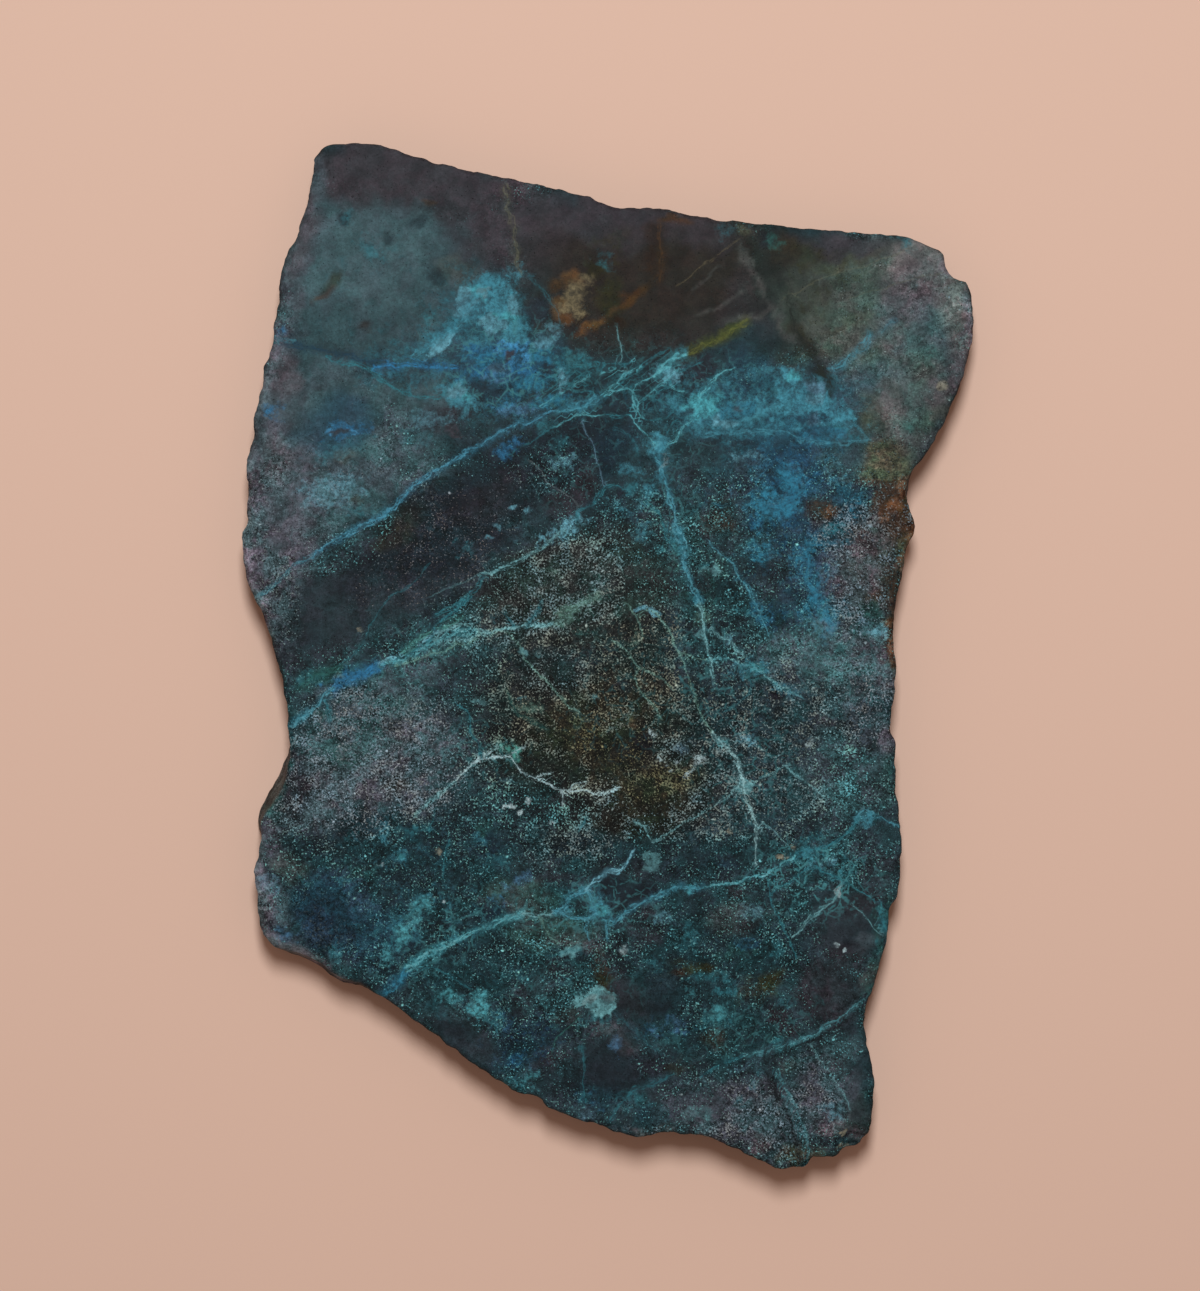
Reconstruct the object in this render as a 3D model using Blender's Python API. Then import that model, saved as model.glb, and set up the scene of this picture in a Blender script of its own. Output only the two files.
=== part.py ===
"""Chrysocolla specimen: a slab sawn from a vein of copper ore rock, with its natural rim left on.

The slab is one piece of stone. Its two broad faces are flat saw cuts, parallel to each other. Its rim is the
broken outer surface of the rock: uneven from top to bottom, leaning out along two stretches, and worn to a
narrow bevel along the left flank and at the corners.

Frame: +X to the right and +Y to the top of the face on show, +Z out of that face. The origin is at the centre
of the bounding box in X and Y, on the underside, which is the flat face that the slab rests on.
"""

import bpy
import bmesh
import numpy as np

MM = 0.001

# ---- driving dimensions, in millimetres -------------------------------------------------------------------

THICKNESS = 6.0
RIM_SAMPLES = 240
SPLINE_STEPS = 12

# The rim of the slab, clockwise from the top left corner. A smooth closed curve runs through these points.
TOP_EDGE = [
    (-29.4, 49.7), (-28.3, 50.95), (-25.8, 51.35), (-22.4, 51.1), (-17.0, 49.45), (-8.5, 47.6), (-2.0, 46.1),
    (0.8, 45.1), (5.1, 44.9), (9.5, 44.0), (20.0, 42.9), (29.5, 42.05), (31.8, 41.3),
]
TOP_RIGHT_CORNER = [(33.6, 40.3), (34.3, 38.4), (36.3, 37.1), (36.7, 34.5), (36.75, 32.2)]
RIGHT_FLANK = [
    (36.2, 29.4), (34.4, 24.5), (32.2, 20.4), (30.9, 18.2), (30.65, 15.4), (30.9, 12.9), (30.3, 11.1),
    (29.6, 8.1), (28.85, 4.8), (28.8, 1.2), (29.15, -0.6), (29.0, -2.6), (28.5, -5.8), (28.5, -7.5),
    (28.95, -8.8), (28.95, -12.8), (29.45, -17.2), (29.5, -21.6), (29.35, -23.5), (28.7, -25.4),
    (28.5, -29.0), (27.7, -30.6), (27.3, -32.1), (26.0, -35.2), (25.9, -36.7), (26.4, -40.0),
    (26.85, -42.6), (26.7, -45.2), (26.1, -47.9),
]
BOTTOM_RIGHT_CORNER = [
    (25.2, -49.0), (23.8, -49.45), (22.6, -50.2), (20.5, -50.3), (20.0, -51.1), (18.4, -51.35),
    (16.8, -51.45), (15.6, -50.8),
]
BOTTOM_EDGE = [
    (12.1, -49.15), (9.2, -48.1), (5.6, -47.9), (3.0, -48.2), (-1.9, -46.75), (-5.8, -45.35), (-7.0, -44.3),
    (-9.0, -43.75), (-13.4, -40.9), (-19.4, -36.6), (-24.5, -33.8), (-27.3, -32.9), (-30.3, -31.0),
]
LOWER_LEFT_CORNER = [
    (-33.3, -29.8), (-34.4, -28.8), (-35.4, -25.4), (-35.5, -23.4), (-35.8, -21.3), (-35.3, -19.8),
    (-35.25, -18.2), (-35.5, -17.2), (-34.8, -14.2), (-33.4, -11.9), (-32.3, -8.6),
]
LEFT_FLANK = [
    (-32.3, -4.8), (-33.1, -0.5), (-34.4, 3.8), (-35.9, 7.0), (-36.65, 10.4), (-36.65, 12.0), (-36.2, 13.6),
    (-36.1, 16.5), (-36.2, 19.6), (-35.5, 21.8), (-35.5, 23.4), (-34.7, 27.0), (-34.5, 28.7), (-33.7, 31.2),
    (-33.5, 33.2), (-33.0, 35.4), (-32.7, 38.6), (-30.9, 42.9), (-30.1, 45.5), (-29.6, 47.8),
]
OUTLINE = (TOP_EDGE + TOP_RIGHT_CORNER + RIGHT_FLANK + BOTTOM_RIGHT_CORNER + BOTTOM_EDGE
           + LOWER_LEFT_CORNER + LEFT_FLANK)

# Stretches of the rim where the side wall leans out towards its foot: place, reach along the rim, lean.
LEANS = [
    ((-34.2, -13.2), 4.5, 1.4),
    ((-27.0, -32.6), 5.5, 0.8),
    ((30.8, 16.8), 2.2, 0.6),
    ((28.4, -28.0), 3.5, 0.4),
]

# Stretches where the top edge is worn to a wider bevel: place, reach along the rim, added width.
BEVELS = [
    ((-31.5, 42.0), 6.0, 0.6),
    ((-34.5, 28.0), 8.0, 1.0),
    ((-36.3, 14.0), 8.0, 1.0),
    ((-34.0, 1.5), 5.0, 0.8),
    ((-35.5, -24.5), 4.5, 1.9),
    ((-31.0, -30.5), 3.5, 1.0),
    ((35.5, 37.0), 4.0, 0.9),
    ((27.5, -31.5), 3.0, 0.6),
]
BEVEL_WIDTH = 0.25
BEVEL_WIDTH_UNEVEN = 0.25
BEVEL_DROP = 0.12
BEVEL_SLOPE = 0.28

# Flakes broken out of the top edge: centre, radius, depth.
FLAKES = [
    ((24.3, -48.4), 1.9, 0.9),
    ((36.4, 31.4), 1.6, 0.6),
    ((-29.2, 49.8), 1.4, 0.5),
    ((-35.9, -17.4), 1.3, 0.7),
    ((20.2, -50.9), 1.1, 0.8),
]

# Rings of the side wall from the foot up: share of the height, inset of the ring, and how uneven it is.
WALL_RINGS = [
    (0.00, 0.45, 0.30),
    (0.07, 0.10, 0.35),
    (0.27, 0.00, 0.80),
    (0.50, 0.05, 0.95),
    (0.72, 0.05, 0.70),
    (0.88, 0.00, 0.25),
]
LEAN_START = 0.07

# Rings of the top face inside the bevel, as insets from the top edge. The last one bounds the sawn flat.
FACE_INSETS = (1.2, 2.8)

ROCK_COLOUR = (0.055, 0.115, 0.125, 1.0)
ROCK_ROUGHNESS = 0.6


# ---- the rim curve ----------------------------------------------------------------------------------------

def closed_spline(points, steps):
    """Centripetal Catmull-Rom curve: each point's knot is the square root of the chord before it."""
    p1 = np.array(points, dtype=float)
    p0, p2, p3 = np.roll(p1, 1, 0), np.roll(p1, -1, 0), np.roll(p1, -2, 0)
    knot = lambda a, b: np.sqrt(np.linalg.norm(b - a, axis=1))[:, None, None]
    t0 = np.zeros((len(p1), 1, 1))
    t1 = t0 + knot(p0, p1)
    t2 = t1 + knot(p1, p2)
    t3 = t2 + knot(p2, p3)
    t = t1 + (t2 - t1) * np.linspace(0.0, 1.0, steps, endpoint=False)[None, :, None]
    p0, p1, p2, p3 = (p[:, None, :] for p in (p0, p1, p2, p3))
    a1 = ((t1 - t) * p0 + (t - t0) * p1) / (t1 - t0)
    a2 = ((t2 - t) * p1 + (t - t1) * p2) / (t2 - t1)
    a3 = ((t3 - t) * p2 + (t - t2) * p3) / (t3 - t2)
    b1 = ((t2 - t) * a1 + (t - t0) * a2) / (t2 - t0)
    b2 = ((t3 - t) * a2 + (t - t1) * a3) / (t3 - t1)
    return (((t2 - t) * b1 + (t - t1) * b2) / (t2 - t1)).reshape(-1, 2)


def evenly_spaced(curve, count):
    """Points at equal distances along a closed curve."""
    closed = np.vstack([curve, curve[:1]])
    run = np.concatenate([[0.0], np.cumsum(np.linalg.norm(np.diff(closed, axis=0), axis=1))])
    at = np.linspace(0.0, run[-1], count, endpoint=False)
    return np.column_stack([np.interp(at, run, closed[:, k]) for k in (0, 1)])


def inward_normals(loop):
    """Unit normals that point into a clockwise loop: the tangent turned a quarter to the right."""
    tangent = np.roll(loop, -1, 0) - np.roll(loop, 1, 0)
    normal = np.column_stack([tangent[:, 1], -tangent[:, 0]])
    return normal / np.linalg.norm(normal, axis=1)[:, None]


def around(loop, stretches):
    """Sum of soft bumps, each highest at its place on the rim and gone at about twice its reach."""
    total = np.zeros(len(loop))
    for place, reach, amount in stretches:
        total += amount * np.exp(-(np.linalg.norm(loop - place, axis=1) / reach) ** 2)
    return total


def uneven(count, waves, seed):
    """A random periodic profile from 0 to 1: cosines of whole numbers of turns with random phases."""
    random = np.random.default_rng(seed)
    turns = np.arange(2, waves)
    phase = random.uniform(0.0, 2.0 * np.pi, len(turns))
    size = random.uniform(0.4, 1.0, len(turns)) / turns ** 0.5
    angle = np.linspace(0.0, 2.0 * np.pi, count, endpoint=False)[:, None]
    profile = (size * np.cos(turns * angle + phase)).sum(1)
    return (profile - profile.min()) / (profile.max() - profile.min())


# ---- the slab ---------------------------------------------------------------------------------------------

def flake_drop(points):
    """Depth of the broken flakes at each point: a bowl that is deepest at its centre."""
    drop = np.zeros(len(points))
    for centre, radius, depth in FLAKES:
        share = np.linalg.norm(points - centre, axis=1) / radius
        drop = np.maximum(drop, depth * np.clip(1.0 - share ** 2, 0.0, 1.0))
    return drop


def slab_rings():
    """The slab as closed rings of points, in order from the foot of the wall to the edge of the sawn flat."""
    rim = evenly_spaced(closed_spline(OUTLINE, SPLINE_STEPS), RIM_SAMPLES)
    rim -= (rim.min(0) + rim.max(0)) / 2.0
    inward = inward_normals(rim)
    lean = around(rim, LEANS)
    bevel = BEVEL_WIDTH + BEVEL_WIDTH_UNEVEN * uneven(RIM_SAMPLES, 70, 5) + around(rim, BEVELS)
    shoulder = THICKNESS - BEVEL_DROP - BEVEL_SLOPE * bevel

    rings = []
    upright = 1.0 - np.clip(lean / 0.5, 0.0, 1.0)
    for number, (share, inset, roughness) in enumerate(WALL_RINGS):
        leaning = lean * np.clip((share - LEAN_START) / (1.0 - LEAN_START), 0.0, 1.0)
        hollow = roughness * upright * uneven(RIM_SAMPLES, 60, 20 + number)
        ring = rim + inward * (inset + leaning + hollow)[:, None]
        height = np.minimum(share * THICKNESS, shoulder - 0.3)
        rings.append(np.column_stack([ring, height]))

    edge = rim + inward * lean[:, None]
    rings.append(np.column_stack([edge, shoulder - flake_drop(edge)]))
    for inset in (0.0,) + FACE_INSETS:
        ring = rim + inward * (lean + bevel + inset)[:, None]
        height = THICKNESS - flake_drop(ring)
        rings.append(np.column_stack([ring, height]))
    rings[-1][:, 2] = THICKNESS
    return rings


def build_slab(collection, material):
    """Loft the rings into one closed solid, with a flat face at each end."""
    bm = bmesh.new()
    loops = [[bm.verts.new(point * MM) for point in ring] for ring in slab_rings()]
    for lower, upper in zip(loops, loops[1:]):
        for a in range(RIM_SAMPLES):
            b = (a + 1) % RIM_SAMPLES
            bm.faces.new((lower[b], lower[a], upper[a], upper[b]))
    bm.faces.new(loops[0])
    bm.faces.new(loops[-1][::-1])
    bmesh.ops.recalc_face_normals(bm, faces=bm.faces)
    bmesh.ops.triangulate(bm, faces=bm.faces)

    mesh = bpy.data.meshes.new("slab")
    bm.to_mesh(mesh)
    bm.free()
    mesh.materials.append(material)
    slab = bpy.data.objects.new("slab", mesh)
    collection.objects.link(slab)
    return slab


def rock_material():
    """Chrysocolla in dark copper ore: blue-green to charcoal, satin where it is sawn."""
    material = bpy.data.materials.new("chrysocolla rock")
    material.use_nodes = True
    shader = material.node_tree.nodes["Principled BSDF"]
    shader.inputs["Base Color"].default_value = ROCK_COLOUR
    shader.inputs["Roughness"].default_value = ROCK_ROUGHNESS
    shader.inputs["Metallic"].default_value = 0.0
    return material


def main():
    for old in list(bpy.data.objects):
        bpy.data.objects.remove(old, do_unlink=True)
    specimen = bpy.data.collections.new("chrysocolla specimen")
    bpy.context.scene.collection.children.link(specimen)
    build_slab(specimen, rock_material())


main()
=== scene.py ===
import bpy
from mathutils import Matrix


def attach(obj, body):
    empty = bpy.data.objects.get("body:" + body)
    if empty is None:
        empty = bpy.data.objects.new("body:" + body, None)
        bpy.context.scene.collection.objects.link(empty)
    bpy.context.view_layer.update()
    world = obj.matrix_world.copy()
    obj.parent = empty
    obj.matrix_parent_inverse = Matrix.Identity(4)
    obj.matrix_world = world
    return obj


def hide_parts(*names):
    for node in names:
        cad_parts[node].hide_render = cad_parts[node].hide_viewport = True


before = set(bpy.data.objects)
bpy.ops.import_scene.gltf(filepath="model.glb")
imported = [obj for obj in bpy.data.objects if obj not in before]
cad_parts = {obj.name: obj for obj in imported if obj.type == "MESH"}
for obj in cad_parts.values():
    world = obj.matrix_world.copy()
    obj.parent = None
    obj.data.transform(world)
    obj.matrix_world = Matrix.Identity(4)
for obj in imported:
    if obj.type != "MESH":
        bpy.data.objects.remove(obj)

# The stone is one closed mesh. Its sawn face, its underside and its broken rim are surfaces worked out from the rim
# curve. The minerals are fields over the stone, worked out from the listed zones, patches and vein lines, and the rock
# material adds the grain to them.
"""Chrysocolla specimen: a slab sawn from dark copper ore rock, crossed by thin blue-green veins.

The stone is one closed mesh. Its sawn face, its underside and its broken rim are surfaces worked out from the
rim curve. The minerals are fields over the stone, worked out from hand-placed zones, patches and vein lines,
and the rock material adds the grain to them.
"""

import math
from functools import partial

import bpy
import numpy as np

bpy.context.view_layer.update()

MM = 0.001

# ---- the rim, in millimetres, clockwise from the top left corner -------------------------------------------

TOP_EDGE = [
    (-29.4, 49.7), (-28.3, 50.95), (-25.8, 51.35), (-22.4, 51.1), (-17.0, 49.45), (-8.5, 47.6), (-2.0, 46.1),
    (0.8, 45.1), (5.1, 44.9), (9.5, 44.0), (20.0, 42.9), (29.5, 42.05), (31.8, 41.3),
]
TOP_RIGHT_CORNER = [(33.6, 40.3), (34.3, 38.4), (36.3, 37.1), (36.7, 34.5), (36.75, 32.2)]
RIGHT_FLANK = [
    (36.2, 29.4), (34.4, 24.5), (32.2, 20.4), (30.9, 18.2), (30.65, 15.4), (30.9, 12.9), (30.3, 11.1),
    (29.6, 8.1), (28.85, 4.8), (28.8, 1.2), (29.15, -0.6), (29.0, -2.6), (28.5, -5.8), (28.5, -7.5),
    (28.95, -8.8), (28.95, -12.8), (29.45, -17.2), (29.5, -21.6), (29.35, -23.5), (28.7, -25.4),
    (28.5, -29.0), (27.7, -30.6), (27.3, -32.1), (26.0, -35.2), (25.9, -36.7), (26.4, -40.0),
    (26.85, -42.6), (26.7, -45.2), (26.1, -47.9),
]
BOTTOM_RIGHT_CORNER = [
    (25.2, -49.0), (23.8, -49.45), (22.6, -50.2), (20.5, -50.3), (20.0, -51.1), (18.4, -51.35),
    (16.8, -51.45), (15.6, -50.8),
]
BOTTOM_EDGE = [
    (12.1, -49.15), (9.2, -48.1), (5.6, -47.9), (3.0, -48.2), (-1.9, -46.75), (-5.8, -45.35), (-7.0, -44.3),
    (-9.0, -43.75), (-13.4, -40.9), (-19.4, -36.6), (-24.5, -33.8), (-27.3, -32.9), (-30.3, -31.0),
]
LOWER_LEFT_CORNER = [
    (-33.3, -29.8), (-34.4, -28.8), (-35.4, -25.4), (-35.5, -23.4), (-35.8, -21.3), (-35.3, -19.8),
    (-35.25, -18.2), (-35.5, -17.2), (-34.8, -14.2), (-33.4, -11.9), (-32.3, -8.6),
]
LEFT_FLANK = [
    (-32.3, -4.8), (-33.1, -0.5), (-34.4, 3.8), (-35.9, 7.0), (-36.65, 10.4), (-36.65, 12.0), (-36.2, 13.6),
    (-36.1, 16.5), (-36.2, 19.6), (-35.5, 21.8), (-35.5, 23.4), (-34.7, 27.0), (-34.5, 28.7), (-33.7, 31.2),
    (-33.5, 33.2), (-33.0, 35.4), (-32.7, 38.6), (-30.9, 42.9), (-30.1, 45.5), (-29.6, 47.8),
]
OUTLINE = (TOP_EDGE + TOP_RIGHT_CORNER + RIGHT_FLANK + BOTTOM_RIGHT_CORNER + BOTTOM_EDGE
           + LOWER_LEFT_CORNER + LEFT_FLANK)
CORNERS = [(-29.4, 49.7), (34.3, 38.4), (25.2, -49.0), (-34.4, -28.8)]

THICKNESS = 6.0
CLEARANCE = 0.03
SPLINE_STEPS = 24

# Cells of the sawn face across and down. The underside has half as many each way.
COLUMNS = 208
ROWS = 288

# Stretches of the rim: place, reach along the rim, amount in millimetres.
LEANS = [
    ((-32.4, -30.2), 3.6, 0.4), ((-35.6, -23.0), 4.0, 0.3), ((-34.2, -13.2), 4.5, 1.4), ((-27.0, -32.6), 5.5, 0.8), ((30.8, 16.8), 2.2, 0.6), ((28.4, -28.0), 3.5, 0.4),
]
BEVELS = [
    ((-31.5, 42.0), 6.0, 0.6), ((-34.5, 28.0), 8.0, 1.0), ((-36.3, 14.0), 8.0, 1.0), ((-34.0, 1.5), 5.0, 0.8),
    ((-35.5, -24.5), 4.5, 1.9), ((-31.0, -30.5), 4.0, 1.7), ((35.5, 37.0), 4.0, 0.9), ((27.5, -31.5), 3.0, 0.6),
    ((26.6, -44.0), 3.5, 0.5),
]
BEVEL_WIDTH = 0.3
BEVEL_DROP = 0.12
BEVEL_SLOPE = 0.34

# Flakes broken out of the top edge and pits in the sawn face: centre, radius, depth.
FLAKES = [
    ((24.3, -48.4), 1.9, 0.9), ((36.4, 31.4), 1.6, 0.6), ((-29.2, 49.8), 1.4, 0.5), ((-35.9, -17.4), 1.3, 0.7),
    ((20.2, -50.9), 1.1, 0.8),
]
PITS = [
    ((24.2, -29.3), 0.9, 0.5), ((24.0, -30.6), 0.7, 0.25), ((4.0, 19.2), 1.0, 0.25), ((22.8, -23.8), 0.7, 0.2),
    ((17.0, -3.9), 0.7, 0.2), ((12.8, -23.5), 0.6, 0.2), ((23.3, -47.8), 0.5, 0.25), ((24.5, -48.2), 0.4, 0.2),
]

# Open cracks that the saw cut across: width, depth, line.
CRACKS = [
    (0.30, 0.30, [(16.7, -41.5), (17.3, -42.9), (18.1, -44.6), (18.7, -46.1), (19.4, -47.8), (19.8, -50.3)]),
    (0.25, 0.22, [(13.0, -39.7), (15.0, -39.2), (17.5, -38.6), (19.4, -38.1), (20.3, -37.5), (22.2, -36.4),
                  (23.8, -35.4), (25.4, -34.3)]),
    (0.15, 0.12, [(20.2, -38.8), (20.8, -39.8), (21.7, -40.7), (22.2, -41.5), (22.7, -42.7), (23.7, -43.7)]),
    (0.15, 0.12, [(24.0, -22.9), (25.2, -23.6), (26.3, -24.3), (27.3, -25.0)]),
]

# ---- minerals: the colour that each one shows, as sRGB hex -------------------------------------------------

MINERALS = {
    # black is painted shadow inside the open cracks, not a mineral.
    "black": "0e1013",
    "charcoal": "4d464b", "brown charcoal": "3b322c", "plum": "3a343a", "dark plum": "231f26",
    "slate": "374147", "dark slate": "252d35", "slate teal": "33474d", "teal grey": "5a7277",
    "grey mauve": "6a6468", "mauve": "666a72", "light mauve": "8c817e", "pink mauve": "6f656b",
    "navy": "1f3645", "deep teal": "213a40", "dark teal": "1a3034", "teal rock": "2f4f56",
    "green slate": "323833", "olive black": "20231f", "olive": "3b3920", "olive brown": "34321f",
    "brown": "3e3124", "rust": "5a3c20", "dark rust": "3a2618", "orange rust": "7c5632", "tan": "6d6048",
    "tan olive": "68644f", "yellow olive": "595a2c", "green grey": "51605c", "blue slate": "335568", "grey wall": "6a6561", "pale mauve": "a59c97", "grey stone": "687269", "pale azure": "68a0b0",
    "cyan": "3f7d8d", "bright cyan": "46939d", "pale cyan": "6aa3b4", "azurite": "2d6a90",
    "bright azurite": "4489b2", "lavender": "5f7f93", "periwinkle": "48708f", "teal": "2e6872",
    "bright teal": "4b929b", "pale teal": "639499", "white teal": "7d9c9f", "green teal": "2c5853",
    # rim mauve and pale lilac are partly the rim's own lilac crust and partly painted highlight on the bevelled rim.
    "pale green": "62867a", "pale grey": "6e787b", "white": "adc0c4", "rim mauve and painted highlight": "9798a2", "azure cyan": "3f8098", "cream": "8f8775",
    "sea green": "4a8d83", "warm grey": "72726a", "pale lilac and painted highlight": "aeb0bd",
    "lilac": "6d7488", "azure": "2d7088", "grey lilac": "747982", "bright rust": "7c5337",
}

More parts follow.
